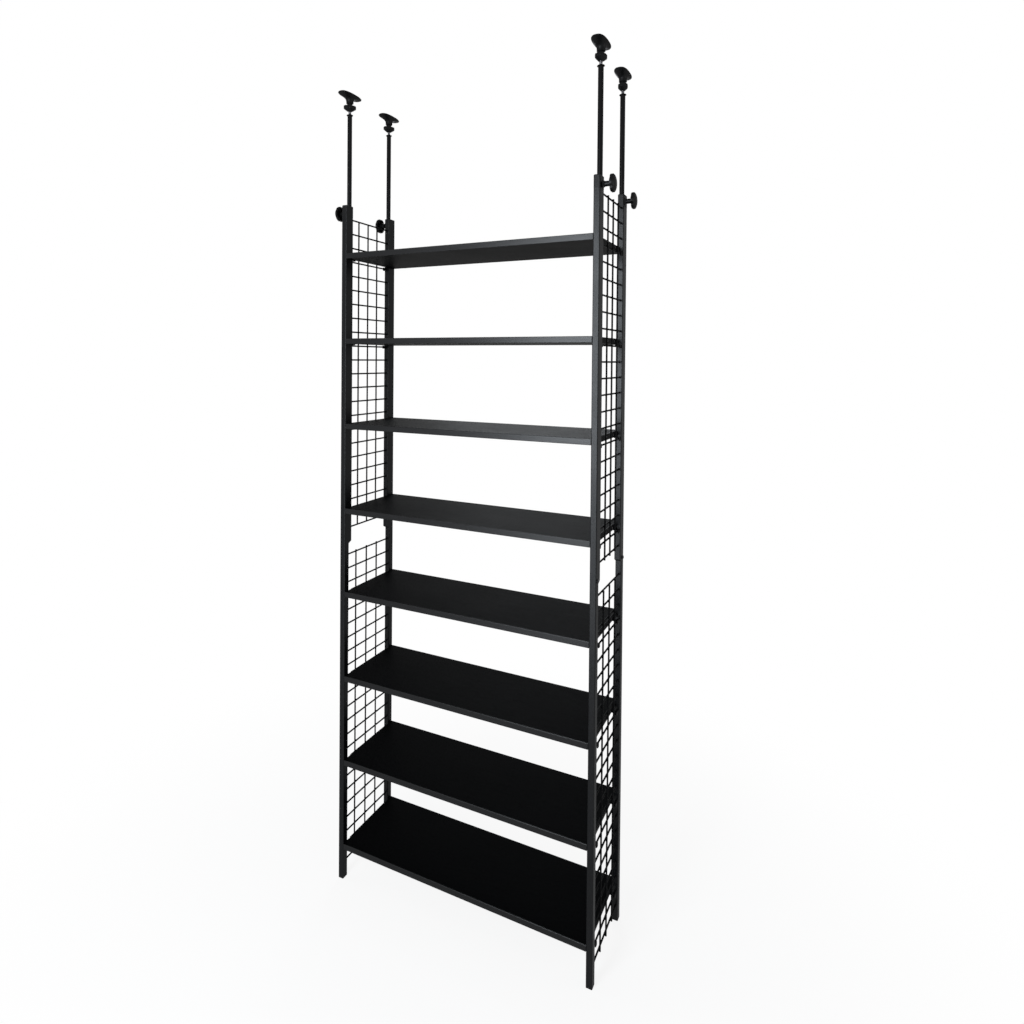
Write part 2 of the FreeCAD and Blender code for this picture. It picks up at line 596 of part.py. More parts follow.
def ceiling_pad():
    """Long oval plate on a flaring hub, with a socket for the rod's end."""
    rim_z = PAD_HEIGHT - PAD_RIM
    sections = []
    for i in range(PAD_SECTIONS):
        height = math.sin(math.pi / 2 * i / (PAD_SECTIONS - 1))
        flare = height ** PAD_FLARE
        half_width = PAD_HUB / 2 + flare * (PAD_WIDTH - PAD_HUB) / 2
        half_length = PAD_HUB / 2 + flare * (PAD_LENGTH - PAD_HUB) / 2
        exponent = 2 + flare * (PAD_SQUARENESS - 2)
        sections.append(superellipse(half_width, half_length, exponent, height * rim_z))
    hub = Part.makeLoft(sections, True)
    outline = superellipse(PAD_WIDTH / 2, PAD_LENGTH / 2, PAD_SQUARENESS, rim_z)
    plate = Part.Face(outline).extrude(Vector(0, 0, PAD_RIM))
    socket = cylinder(ROD_DIAMETER + 2 * RUNNING_GAP, ROD_IN_PAD + SWIVEL_GAP, Vector(0, 0, 0))
    return on_pole_axis(hub.fuse(plate).cut(socket), PAD_Z)


# --------------------------------------------------------------------- export
def main():
    os.makedirs("parts", exist_ok=True)

    one_per_corner = {
        "lower_post": lower_post(),
        "upper_post": upper_post(),
        "clamp_screw": clamp_screw(),
        "clamp_knob": clamp_knob(),
        "pole": pole(),
        "pole_bush": pole_bush(),
        "threaded_rod": threaded_rod(),
        "ceiling_pad": ceiling_pad(),
    }
    for name, shape in one_per_corner.items():
        for corner in CORNERS:
            export(at_corner(shape, corner), "%s_%s" % (name, corner))

    for corner, (sign_x, sign_y) in CORNERS.items():
        wheel = adjuster_wheel(WHEEL_TURNS[corner] * sign_x * sign_y)
        export(at_corner(wheel, corner), "adjuster_wheel_%s" % corner)

    shared_by_corners = {
        "feet": foot(),
        "joint_bolts": joint_bolt(),
        "pole_guides": pole_guide(),
        "clamp_nuts": clamp_nut(),
    }
    for name, shape in shared_by_corners.items():
        export(Part.makeCompound([at_corner(shape, corner) for corner in CORNERS]), name)

    for section in SECTIONS:
        panel = mesh_panel(section)
        for side in SIDES:
            export(at_side(panel, side), "%s_mesh_%s" % (section, side))

    for number, top in enumerate(shelf_tops(), 1):
        export(board(top), "shelf_%d_board" % number)
        export(hook_rails(top), "shelf_%d_hook_rails" % number)


main()
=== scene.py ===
"""Looks of a black shelf unit that four tension poles hold between floor and ceiling.

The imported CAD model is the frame: its nodes give every place and size.  Sheet
metal and plain mouldings are eased copies of their nodes, and mesh, screws,
threads, knobs, wheels and ceiling pads are built here with their fine detail.
"""

import json
import math

import bmesh
import bpy
from bpy.props import FloatProperty, FloatVectorProperty, IntProperty, PointerProperty
from mathutils import Matrix, Vector

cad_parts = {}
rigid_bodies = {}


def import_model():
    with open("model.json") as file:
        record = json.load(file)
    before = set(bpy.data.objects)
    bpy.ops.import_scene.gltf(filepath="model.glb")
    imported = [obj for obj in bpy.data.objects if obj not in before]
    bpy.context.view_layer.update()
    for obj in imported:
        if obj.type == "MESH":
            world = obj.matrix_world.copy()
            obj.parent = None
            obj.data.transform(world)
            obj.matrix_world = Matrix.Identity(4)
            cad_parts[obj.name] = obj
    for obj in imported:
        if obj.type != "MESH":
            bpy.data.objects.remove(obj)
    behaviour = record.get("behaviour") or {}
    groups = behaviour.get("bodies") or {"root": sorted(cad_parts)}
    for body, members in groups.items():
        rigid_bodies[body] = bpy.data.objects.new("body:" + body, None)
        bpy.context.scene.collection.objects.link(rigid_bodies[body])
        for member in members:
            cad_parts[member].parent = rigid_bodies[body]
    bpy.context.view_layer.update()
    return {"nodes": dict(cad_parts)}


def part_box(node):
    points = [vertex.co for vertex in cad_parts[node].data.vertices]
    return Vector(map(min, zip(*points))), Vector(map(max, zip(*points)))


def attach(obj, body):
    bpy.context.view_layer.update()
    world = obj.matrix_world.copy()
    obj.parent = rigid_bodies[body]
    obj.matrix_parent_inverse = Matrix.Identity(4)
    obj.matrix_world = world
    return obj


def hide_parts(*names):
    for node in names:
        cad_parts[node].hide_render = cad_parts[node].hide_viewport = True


bl_info = {
    "name": "Tension Pole Shelf Unit",
    "version": (1, 0, 0),
    "blender": (4, 5, 0),
    "location": "View3D > Sidebar > Shelf Unit",
    "description": "Finishes and detailed pieces of a black shelf unit on four tension poles",
    "category": "Object",
}

MM = 0.001
SMOOTH_UNDER = math.radians(38)     # edges that turn by more stay sharp
EASED_OVER = math.radians(35)       # edges that turn by more are rounded
FLAT_UNDER = math.radians(0.5)      # triangles that turn by less are one flat face
MERGED_UNDER = 0.002 * MM           # points that are nearer are one point
SCREW_UNDER = 20 * MM               # solids that are shorter along Y are screws
SCREW_TURN = 0.9                    # radians from one rail screw to the next
BEAD_THINNESS = 0.45                # thickness of a weld bead in its widths
CROSSING_BEAD = 0.85                # size of the beads between wires, against those at posts
THREAD_FLANK = 2.6                  # slope of a thread's flanks, in its depths and pitches
THREAD_CREST = 0.2                  # cut off a thread's crests, in its depths
FLAKE_TINT = (0.97, 0.985, 1.0, 1.0)

for leftover in list(bpy.data.objects):
    bpy.data.objects.remove(leftover)
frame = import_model()
CORNERS = ("left_front", "left_back", "right_front", "right_back")
SHELVES = sorted(int(name.split("_")[1]) for name in frame["nodes"] if name.endswith("_board"))
MESH_PANELS = [name for name in frame["nodes"] if "_mesh_" in name]


# ------------------------------------------------------------------ settings
def real(name, description, default, **kind):
    return FloatProperty(name=name, description=description, default=default, **kind)


def length(name, description, default):
    """A size in metres, given in millimetres."""
    return real(name, description, default * MM, unit="LENGTH", precision=5)


def share(name, description, default):
    return real(name, description, default, min=0.0, max=1.0, subtype="FACTOR")


def watts(name, description, default):
    return real(name, description, default, unit="POWER")


def colour(name, description, default):
    return FloatVectorProperty(name=name, description=description, default=default,
                               size=3, min=0.0, max=1.0, subtype="COLOR")


def whole(name, description, default, least=1):
    return IntProperty(name=name, description=description, default=default, min=least)


class CoatingSettings(bpy.types.PropertyGroup):
    """Colours and gloss of the painted steel."""

    post_colour: colour("Posts", "Powder coat of the posts", (0.0035, 0.0037, 0.0042))
    post_gloss: share("Post roughness", "Roughness of the posts' powder coat", 0.31)
    post_flakes: share("Post flakes", "Share of bright flakes in the posts' powder coat", 0.012)
    mesh_colour: colour("Mesh", "Coat of the wire mesh", (0.003, 0.003, 0.0033))
    rail_colour: colour("Hook rails", "Coat of the hook rails", (0.003, 0.003, 0.0033))
    dull_flakes: share("Dull flakes", "Share of bright flakes in the coat of mesh and rails", 0.003)
    pole_colour: colour("Poles", "Baked coat of the poles", (0.003, 0.003, 0.0033))
    pole_flakes: share("Pole flakes", "Share of bright flakes in the poles' coat", 0.007)
    edge_ease: length("Edge ease", "Rounding of sheet metal and moulded edges", 0.35)


class MeshSettings(bpy.types.PropertyGroup):
    """Sizes of the welded wire mesh."""

    wire_diameter: length("Wire", "Diameter of the mesh wires", 4.4)
    wire_pitch: length("Pitch", "Height between cross wires", 40.0)
    uprights: whole("Uprights", "Upright wires in a panel", 3)
    weld_size: length("Weld bead", "Radius of the weld beads at the posts", 3.0)


class ShelfSettings(bpy.types.PropertyGroup):
    """Sizes and colours of the boards and of their screws."""

    board_colour: colour("Boards", "Laminate of the boards", (0.0010, 0.0011, 0.0013))
    band_colour: colour("Edge band", "Edge band of the boards", (0.003, 0.003, 0.0034))
    band_flakes: share("Band flakes", "Share of bright flakes in the edge band", 0.018)
    arris: length("Arris", "Rounding along the boards' long edges", 1.3)
    band_depth: length("Band thickness", "Thickness of the edge band", 0.8)
    rail_face: length("Rail face", "Distance of the rails' outer faces from the boards", 2.3)
    screw_colour: colour("Screws", "Blackened steel of the rail screws", (0.014, 0.014, 0.015))
    screw_head: length("Screw head", "Diameter of the rail screws' heads", 7.0)
    screw_height: length("Screw height", "Height of the rail screws' heads", 1.8)
    screws_per_rail: whole("Screws", "Screws in a hook rail", 3)
    screw_spacing: length("Screw spacing", "Distance between the screws of a rail", 60.0)


class FittingSettings(bpy.types.PropertyGroup):
    """Sizes and colours of knobs, wheels, pads and threads."""

    plastic_colour: colour("Plastic", "Moulded plastic pieces", (0.0035, 0.0035, 0.0038))
    plastic_flakes: share("Plastic flakes", "Share of bright fillers in the plastic", 0.008)
    rubber_colour: colour("Pad face", "Rubber face of the ceiling pads", (0.006, 0.006, 0.006))
    zinc_colour: colour("Zinc", "Plating of clamp screws and bushes", (0.42, 0.42, 0.43))
    rod_colour: colour("Rods", "Plating of the threaded rods", (0.20, 0.20, 0.21))
    bolt_colour: colour("Bolts", "Black oxide of the joint bolts", (0.022, 0.022, 0.024))
    lobes: whole("Knob lobes", "Lobes of a clamp knob", 6, least=3)
    lobe_cutter: length("Lobe radius", "Radius of the hollows between lobes", 9.0)
    lobe_depth: length("Lobe depth", "Depth of the hollows between lobes", 1.8)
    wheel_width: length("Wheel width", "Short way across an adjuster wheel", 24.5)
    wheel_length: length("Wheel length", "Long way across an adjuster wheel", 35.5)
    wheel_turns: FloatVectorProperty(
        name="Wheel turns", description="How far each wheel stands turned at rest", size=4,
        default=[math.radians(turn) for turn in (-37, -23, -12, 10)], unit="ROTATION")
    flutes: whole("Flutes", "Flutes of an adjuster wheel", 12, least=3)
    flute_cutter: length("Flute radius", "Radius of the wheel's flutes", 2.6)
    flute_depth: length("Flute depth", "Depth of the wheel's flutes", 0.9)
    thread_pitch: length("Thread pitch", "Pitch of the rods and clamp screws", 1.25)
    thread_depth: length("Thread depth", "Depth of that thread", 0.68)
    thread_lead: length("Thread lead", "Plain end beside that thread", 0.6)


class StageSettings(bpy.types.PropertyGroup):
    """Camera, lamps and floor."""

    camera_place: FloatVectorProperty(name="Camera", description="Place of the camera",
                                      default=(0.82876, -1.71083, 1.48040), subtype="TRANSLATION")
    camera_turn: real("Turn", "Turn of the camera to the left", 0.4967, subtype="ANGLE")
    camera_tilt: real("Tilt", "Downward tilt of the camera", 0.0132, subtype="ANGLE")
    camera_roll: real("Roll", "Roll of the camera", 0.0072, subtype="ANGLE")
    camera_lens: real("Lens", "Focal length on a 36 mm sensor", 24.429, unit="CAMERA")
    camera_shift: FloatVectorProperty(name="Shift", description="Lens shift, across and up",
                                      size=2, default=(0.06392, -0.14003))
    key_power: watts("Key", "Power of the soft light at the left front", 50.0)
    low_power: watts("Low key", "Power of the soft light under the key", 11.0)
    back_power: watts("Back", "Power of the soft light behind", 18.0)
    side_power: watts("Sides", "Power of the soft light at each side", 12.0)
    ambient: share("Ambient", "Brightness of the surroundings as a light", 0.24)


# ----------------------------------------------------------------- node graphs
class Value:
    """An output socket of a graph, on which arithmetic adds Math nodes."""

    def __init__(self, graph, socket):
        self.graph = graph
        self.socket = socket

    def maths(self, operation, *others):
        return self.graph.node("ShaderNodeMath", {"operation": operation},
                               dict(enumerate((self,) + others)))

    def __add__(self, other):
        return self.maths("ADD", other)

    def __sub__(self, other):
        return self.maths("SUBTRACT", other)

    def __rsub__(self, other):
        return self.graph.node("ShaderNodeMath", {"operation": "SUBTRACT"}, {0: other, 1: self})

    def __mul__(self, other):
        return self.maths("MULTIPLY", other)

    def __gt__(self, other):
        return self.maths("GREATER_THAN", other)

    def upper(self, other):
        return self.maths("MAXIMUM", other)

    __radd__ = __add__
    __rmul__ = __mul__


class Graph:
    """A node tree that is filled through one method."""

    def __init__(self, tree):
        self.tree = tree

    def node(self, kind, settings=None, sockets=None, out=0):
        made = self.tree.nodes.new(kind)
        for name, setting in (settings or {}).items():
            if name == "stops":
                self.set_stops(made.color_ramp, setting)
            else:
                setattr(made, name, setting)
        for key, value in (sockets or {}).items():
            if isinstance(value, Value):
                self.tree.links.new(value.socket, made.inputs[key])
            else:
                made.inputs[key].default_value = value
        return Value(self, made.outputs[out]) if len(made.outputs) > out else made

    @staticmethod
    def set_stops(ramp, stops):
        for element, (position, level) in zip(ramp.elements, stops):
            element.position = position
            element.color = (level, level, level, 1.0)


class Finish(Graph):
    """A material under construction."""

    def __init__(self, name):
        self.material = bpy.data.materials.new(name)
        self.material.use_nodes = True
        super().__init__(self.material.node_tree)
        self.tree.nodes.clear()
        self.place = self.node("ShaderNodeTexCoord", out=3)

    def noise(self, per_metre, detail=2.0, stretch=(1, 1, 1)):
        """Soft noise, with so many features a metre along each axis."""
        scale = [per_metre * s for s in stretch]
        at = self.node("ShaderNodeMapping", {}, {"Vector": self.place, "Scale": scale})
        return self.node("ShaderNodeTexNoise", {}, {"Vector": at, "Scale": 1.0, "Detail": detail})

    def range(self, low, high, value):
        """0 under low and 1 over high, smooth between them."""
        return self.node("ShaderNodeMapRange", {"interpolation_type": "SMOOTHSTEP"},
                         {"Value": value, "From Min": low, "From Max": high})

    def mix(self, factor, first, second):
        colours = {0: factor, 6: opaque(first), 7: opaque(second)}
        return self.node("ShaderNodeMix", {"data_type": "RGBA"}, colours, out=2)

    def varied(self, tint, factor, low, high):
        """The tint, made darker or brighter by a factor that goes from 0 to 1."""
        return self.mix(factor, brighter(tint, low), brighter(tint, high))

    def bump(self, height, depth):
        """Normal over a height from 0 to 1 that is depth metres deep."""
        return self.node("ShaderNodeBump", {},
                         {"Height": height, "Distance": depth, "Strength": 1.0})

    def shader(self, **sockets):
        """Principled shader from sockets named with _ for a space."""
        names = {name.replace("_", " "): value for name, value in sockets.items()}
        return self.node("ShaderNodeBsdfPrincipled", {}, names)

    def done(self, shader):
        self.node("ShaderNodeOutputMaterial", {}, {"Surface": shader})
        return self.material

    def flaked(self, base, gloss, flakes, relief, depth, shine=0.006):
        """Dull coat with a share of fine flakes in it, which shine alike at every slant."""
        common = {"Roughness": gloss, "Normal": self.bump(relief, depth)}
        coat = self.shader(Base_Color=base, Specular_IOR_Level=shine, **common)
        bright = self.shader(Base_Color=FLAKE_TINT, Metallic=1.0, **common)
        return self.done(self.node("ShaderNodeMixShader", {}, {0: flakes, 1: coat, 2: bright}))


def opaque(tint):
    return tint if isinstance(tint, Value) else (*tint, 1.0)


def brighter(tint, factor):
    return tuple(min(1.0, c * factor) for c in tint)


def powder_coat(name, tint, flakes, roughness):
    """Black powder coat: fine orange peel, faint clouds and a few dust specks."""
    finish = Finish(name)
    clouds = finish.noise(14.0, 4.0)
    peel = finish.noise(650.0, 2.0)
    dust = finish.range(0.71, 0.76, finish.noise(900.0, 0.0))
    base = finish.varied(tint, clouds, 0.8, 1.2)
    base = finish.mix(dust, base, brighter(tint, 3.0))
    gloss = clouds * 0.10 + peel * 0.10 + (roughness - 0.10)
    return finish.flaked(base, gloss, flakes, peel, 0.03 * MM)


def drawn_tube_coat(name, tint, flakes):
    """Baked coat on a drawn tube, faintly streaked along the tube by sliding."""
    finish = Finish(name)
    streaks = finish.noise(900.0, 3.0, (1, 1, 0.012))
    clouds = finish.noise(20.0, 3.0)
    base = finish.varied(tint, streaks, 0.75, 1.3)
    gloss = streaks * 0.14 + clouds * 0.08 + 0.22
    return finish.flaked(base, gloss, flakes, streaks, 0.004 * MM, shine=0.004)


def laminate(name, tint):
    """Dull black foil over the board, embossed with a fine grain along its length."""
    finish = Finish(name)
    grain = finish.noise(420.0, 3.0, (0.035, 1, 1))
    pores = finish.range(0.60, 0.70, finish.noise(1500.0, 1.0, (0.03, 1, 1)))
    clouds = finish.noise(7.0, 3.0)
    base = finish.varied(tint, clouds, 0.85, 1.2)
    base = finish.mix(pores, base, brighter(tint, 0.5))
    gloss = grain * 0.12 + pores * 0.10 + clouds * 0.08 + 0.43
    return finish.done(finish.shader(
        Base_Color=base, Roughness=gloss, Specular_IOR_Level=0.0060,
        Normal=finish.bump(grain - pores * 0.6, 0.05 * MM)))


def edge_band(name, tint, flakes):
    """Plastic band on the boards' edges, a little glossier than the foil."""
    finish = Finish(name)
    grain = finish.noise(500.0, 2.0, (0.05, 1, 1))
    base = finish.varied(tint, grain, 0.8, 1.25)
    return finish.flaked(base, grain * 0.10 + 0.27, flakes, grain, 0.02 * MM)


def moulded_plastic(name, tint, flakes, roughness):
    """Moulded black plastic with a fine spark-eroded texture."""
    finish = Finish(name)
    texture = finish.noise(2400.0, 2.0)
    sheen = finish.noise(60.0, 3.0)
    base = finish.varied(tint, sheen, 0.8, 1.2)
    gloss = texture * 0.12 + sheen * 0.12 + (roughness - 0.12)
    return finish.flaked(base, gloss, flakes, texture, 0.02 * MM)


def fitting_plastic(name, roughness):
    settings = bpy.context.scene.rack_fittings
    return moulded_plastic(name, settings.plastic_colour, settings.plastic_flakes, roughness)


def rubber(name, tint):
    """Dull rubber with a fine pebbled face."""
    finish = Finish(name)
    pebbles = finish.noise(1100.0, 2.0)
    base = finish.varied(tint, pebbles, 0.7, 1.3)
    return finish.done(finish.shader(
        Base_Color=base, Roughness=pebbles * 0.15 + 0.65, Specular_IOR_Level=0.03,
        Normal=finish.bump(pebbles, 0.08 * MM)))


def plated_steel(name, tint, roughness):
    """Plated steel with fine turning marks and cloudy plating."""
    finish = Finish(name)
    marks = finish.noise(1800.0, 2.0)
    clouds = finish.noise(90.0, 3.0)
    base = finish.varied(tint, clouds, 0.85, 1.12)
    return finish.done(finish.shader(
        Base_Color=base, Metallic=1.0, Roughness=marks * 0.14 + clouds * 0.1 + (roughness - 0.12),
        Normal=finish.bump(marks, 0.006 * MM)))


# -------------------------------------------------------------- mesh building
def object_from(name, mesh, materials):
    made = bpy.data.objects.new(name, mesh)
    bpy.context.scene.collection.objects.link(made)
    for material in materials:
        mesh.materials.append(material)
    return made


def shaded(mesh):
    """Smooth shading that keeps the sharper edges."""
    mesh.shade_smooth()
    mesh.set_sharp_from_angle(angle=SMOOTH_UNDER)
    return mesh


def evaluated_mesh(name, holder):
    """Plain mesh of an object after its modifiers; the object is dropped."""
    bpy.context.scene.collection.objects.link(holder)
    depsgraph = bpy.context.evaluated_depsgraph_get()
    made = bpy.data.meshes.new_from_object(holder.evaluated_get(depsgraph))
    bpy.data.objects.remove(holder)
    made.name = name
    return made


def mesh_from(name, bm):
    """Mesh whose normals are weighted by area, so that large faces look flat."""
    mesh = bpy.data.meshes.new(name)
    bm.to_mesh(mesh)
    bm.free()
    holder = bpy.data.objects.new(name, shaded(mesh))
    holder.modifiers.new("normals", "WEIGHTED_NORMAL").keep_sharp = True
    return evaluated_mesh(name, holder)


def shown(piece, body, nodes):
    """Let a finished piece ride on its body and stand for its CAD nodes."""
    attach(piece, body)
    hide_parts(*nodes)


def merged_copy(node):
    """Closed copy of a CAD node's triangles, with flat faces made whole."""
    bm = bmesh.new()
    bm.from_mesh(frame["nodes"][node].data)
    bmesh.ops.remove_doubles(bm, verts=bm.verts, dist=MERGED_UNDER)
    bmesh.ops.dissolve_limit(bm, angle_limit=FLAT_UNDER, verts=bm.verts, edges=bm.edges)
    return bm


def ease_edges(bm, width):
    edges = [e for e in bm.edges if len(e.link_faces) == 2 and e.calc_face_angle() > EASED_OVER]
    bmesh.ops.bevel(bm, geom=edges, offset=width, segments=2, profile=0.5,
                    affect="EDGES", clamp_overlap=True)


def eased_piece(name, node, body, material, width):
    """Copy of a CAD node with its hard edges eased."""
    bm = merged_copy(node)
    ease_edges(bm, width)
    shown(object_from(name, mesh_from(name, bm), [material]), body, [node])


def built_piece(name, node, body, materials, bm, place):
    """Piece built about Z, put in the place of a CAD node."""
    shown(object_from(name, finished_bm(node, bm, place), materials), body, [node])


def upright_place(node):
    """Matrix at the foot of a node's upright axis, and the size of its box."""
    low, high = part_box(node)
    middle = (low + high) / 2
    return Matrix.Translation((middle.x, middle.y, low.z)), high - low


def outward_place(node):
    """Matrix at the inner end of a node that points outwards, and the size of its box."""
    low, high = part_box(node)
    outward = Vector((1 if low.x > 0 else -1, 0, 0))
    return turned_frame((low + high) / 2 - outward * (high.x - low.x) / 2, outward), high - low


def fair_angles(count):
    return [2 * math.pi * i / count for i in range(count)]


def ring(reach, height, angles):
    """Points round Z; reach is a radius or a function of the angle."""
    radius = reach if callable(reach) else lambda angle: reach
    return [Vector((radius(a) * math.cos(a), radius(a) * math.sin(a), height)) for a in angles]


def turned(angles, *profile):
    """Rings round Z from pairs of radius and height."""
    return [ring(reach, height, angles) for reach, height in profile]


def oval_point(half_x, half_y, power, angle, height=0.0):
    """Point of a superellipse round Z."""
    c, s = math.cos(angle), math.sin(angle)
    return Vector((half_x * math.copysign(abs(c) ** (2 / power), c),
                   half_y * math.copysign(abs(s) ** (2 / power), s), height))


def skin(bm, rings, material_index=0):
    """Closed skin over rings of points; a ring of one point is a pole."""
    rows = [[bm.verts.new(point) for point in points] for points in rings]
    for low, high in zip(rows, rows[1:]):
        count = max(len(low), len(high))
        for i in range(count):
            j = (i + 1) % count
            around = [row[k % len(row)] for row, k in ((low, i), (low, j), (high, j), (high, i))]
            bm.faces.new(list(dict.fromkeys(around))).material_index = material_index
    for end in (rows[0], rows[-1]):
        if len(end) > 2:
            bm.faces.new(end).material_index = material_index
    return [vert for row in rows for vert in row]


def box(bm, low, high):
    """Plain bar between two corners, as a part of a larger piece."""
    outline = ((low[0], low[1]), (high[0], low[1]), (high[0], high[1]), (low[0], high[1]))
    return skin(bm, [[Vector((x, y, z)) for x, y in outline] for z in (low[2], high[2])])


def turned_frame(origin, outward):
    """Matrix that stands a piece made about Z on origin, its Z along outward."""
    across = Vector((0, 1, 0))
    turn = Matrix((across.cross(outward), across, outward)).transposed().to_4x4()
    return Matrix.Translation(origin) @ turn


def finished_bm(name, bm, matrix=None):
    if matrix is not None:
        bm.transform(matrix)
    bmesh.ops.recalc_face_normals(bm, faces=bm.faces)
    return mesh_from(name, bm)


def scalloped(radius, count, cutter, depth, soft=0.35 * MM):
    """Radius against angle of a round edge with evenly spaced hollows."""
    centre = radius + cutter - depth
    step = 2 * math.pi / count

    def reach(angle):
        off = (angle + step / 2) % step - step / 2
        across = centre * math.sin(off)
        if abs(across) >= cutter:
            return radius
        cut = centre * math.cos(off) - math.sqrt(cutter ** 2 - across ** 2)
        return radius - soft * math.log(1 + math.exp((radius - cut) / soft))

    return reach


def add_threaded_bar(bm, settings, radius, low, start, high, steps=6):
    """Round bar about Z between two heights, threaded from start nearly to its top."""
    depth, pitch = settings.thread_depth, settings.thread_pitch
    end = high - settings.thread_lead
    angles = fair_angles(24)
    rows = int(round((end - start) / pitch * steps))

    def thread_at(height):
        def reach(angle):
            phase = (height / pitch - angle / (2 * math.pi)) % 1.0
            cut = abs(phase - 0.5) * THREAD_FLANK - THREAD_CREST
            return radius - depth * min(1.0, max(0.0, cut))
        return reach

    plain = sorted({low, start - settings.thread_lead})
    rings = [[Vector((0, 0, low))]] + [ring(radius - depth, z, angles) for z in plain]
    for i in range(rows + 1):
        height = start + (end - start) * i / rows
        rings.append(ring(thread_at(height), height, angles))
    skin(bm, rings + [ring(radius - depth, high, angles), [Vector((0, 0, high))]])


# -------------------------------------------------------------- geometry nodes
class NodeGroup(Graph):
    """A geometry node tree with named inputs."""

    def __init__(self, name, inputs):
        group = bpy.data.node_groups.new(name, "GeometryNodeTree")
        self.keys = {}
        for label, kind in inputs.items():
            socket = group.interface.new_socket(label, in_out="INPUT", socket_type=kind)
            self.keys[label] = socket.identifier
        group.interface.new_socket("Geometry", in_out="OUTPUT", socket_type="NodeSocketGeometry")
        super().__init__(group)
        entry = group.nodes.new("NodeGroupInput")
        self.given = {label: Value(self, entry.outputs[label]) for label in inputs}

    def vector(self, x=0.0, y=0.0, z=0.0):
        return self.node("ShaderNodeCombineXYZ", {}, {0: x, 1: y, 2: z})

    def join(self, *parts):
        made = self.tree.nodes.new("GeometryNodeJoinGeometry")
        for part in parts:
            self.tree.links.new(part.socket, made.inputs[0])
        return Value(self, made.outputs[0])

    def on_points(self, points, instance, **sockets):
        return self.node("GeometryNodeInstanceOnPoints", {},
                         {"Points": points, "Instance": instance, **sockets})

    def finish(self, geometry):
        """Real faces with their material, as the export needs them."""
        faces = self.node("GeometryNodeRealizeInstances", {}, {0: geometry})
        painted = self.node("GeometryNodeSetMaterial", {},
                            {"Geometry": faces, "Material": self.given["Material"]})
        self.node("NodeGroupOutput", {}, {0: painted})
        return self

    def mesh(self, name, values, base=None):
        """Plain mesh that the tree makes from these values."""
        holder = bpy.data.objects.new(name, base or bpy.data.meshes.new(name))
        modifier = holder.modifiers.new(name, "NODES")
        modifier.node_group = self.tree
        for label, value in values.items():
            modifier[self.keys[label]] = value
        return shaded(evaluated_mesh(name, holder))


def wire_panel_tree():
    """Cross wires on upright wires, with weld beads where they meet each other and the posts."""
    group = NodeGroup("Wire panel", {
        "Wires": "NodeSocketInt", "Pitch": "NodeSocketFloat", "Radius": "NodeSocketFloat",
        "Half span": "NodeSocketFloat", "Bottom": "NodeSocketFloat", "Height": "NodeSocketFloat",
        "Uprights": "NodeSocketInt", "Upright gap": "NodeSocketFloat",
        "Cross place": "NodeSocketFloat", "Upright place": "NodeSocketFloat",
        "Weld": "NodeSocketFloat", "Material": "NodeSocketMaterial"})
    given = group.given
    profile = group.node("GeometryNodeCurvePrimitiveCircle", {},
                         {"Resolution": 16, "Radius": given["Radius"]})

    def wire(start, end):
        line = group.node("GeometryNodeCurvePrimitiveLine", {}, {"Start": start, "End": end})
        return group.node("GeometryNodeCurveToMesh", {},
                          {"Curve": line, "Profile Curve": profile, "Fill Caps": True})

    def points(count, start, offset):
        return group.node("GeometryNodeMeshLine", {"mode": "OFFSET"},
                          {"Count": count, "Start Location": start, "Offset": offset})

    def beads(at, thin_axis, size):
        ball = group.node("GeometryNodeMeshUVSphere", {},
                          {"Segments": 10, "Rings": 6, "Radius": size})
        scale = [1.0, 1.0, 1.0]
        scale[thin_axis] = BEAD_THINNESS
        return group.on_points(at, ball, Scale=scale)

    half = given["Half span"]
    climb = group.vector(z=given["Pitch"])
    levels = points(given["Wires"], group.vector(given["Cross place"], 0.0, given["Bottom"]), climb)
    cross_wires = group.on_points(levels, wire(group.vector(y=half * -1.0), group.vector(y=half)))

    first_y = given["Upright gap"] - half
    foot = group.vector(given["Upright place"], first_y, given["Bottom"] - given["Radius"])
    step = group.vector(y=given["Upright gap"])
    upright_wires = group.on_points(points(given["Uprights"], foot, step),
                                    wire(group.vector(), group.vector(z=given["Height"])))

    between = (given["Cross place"] + given["Upright place"]) * 0.5
    row = points(given["Uprights"], group.vector(between, first_y, 0.0), step)
    rows = points(given["Wires"], group.vector(z=given["Bottom"]), climb)
    crossings = group.node("GeometryNodeRealizeInstances", {}, {0: group.on_points(rows, row)})
    ends = points(2, group.vector(given["Cross place"], half * -1.0), group.vector(y=half * 2.0))
    at_posts = group.node("GeometryNodeRealizeInstances", {}, {0: group.on_points(rows, ends)})
    return group.finish(group.join(cross_wires, upright_wires,
                                   beads(crossings, 0, given["Weld"] * CROSSING_BEAD),
                                   beads(at_posts, 1, given["Weld"])))


def screws_tree():
    """A screw on each point, its head outwards along X on both sides of the rack."""
    group = NodeGroup("Screws", {"Geometry": "NodeSocketGeometry", "Screw": "NodeSocketObject",
                                 "Material": "NodeSocketMaterial"})
    screw = group.node("GeometryNodeObjectInfo", {}, {"Object": group.given["Screw"]}, out=4)
    place = group.node("GeometryNodeInputPosition")
    side = group.node("ShaderNodeSeparateXYZ", {}, {0: place})
    number = group.node("GeometryNodeInputIndex")
    turn = group.vector(number * SCREW_TURN, 0.0, (side > 0.0) * -math.pi + math.pi)
    rotation = group.node("FunctionNodeEulerToRotation", {}, {0: turn})
    placed = group.on_points(group.given["Geometry"], screw, Rotation=rotation)
    return group.finish(placed)


# ------------------------------------------------------------------ operators
class PieceOperator(bpy.types.Operator):
    """Base of the operators, each of which builds one kind of piece."""

    bl_options = {"REGISTER", "UNDO"}


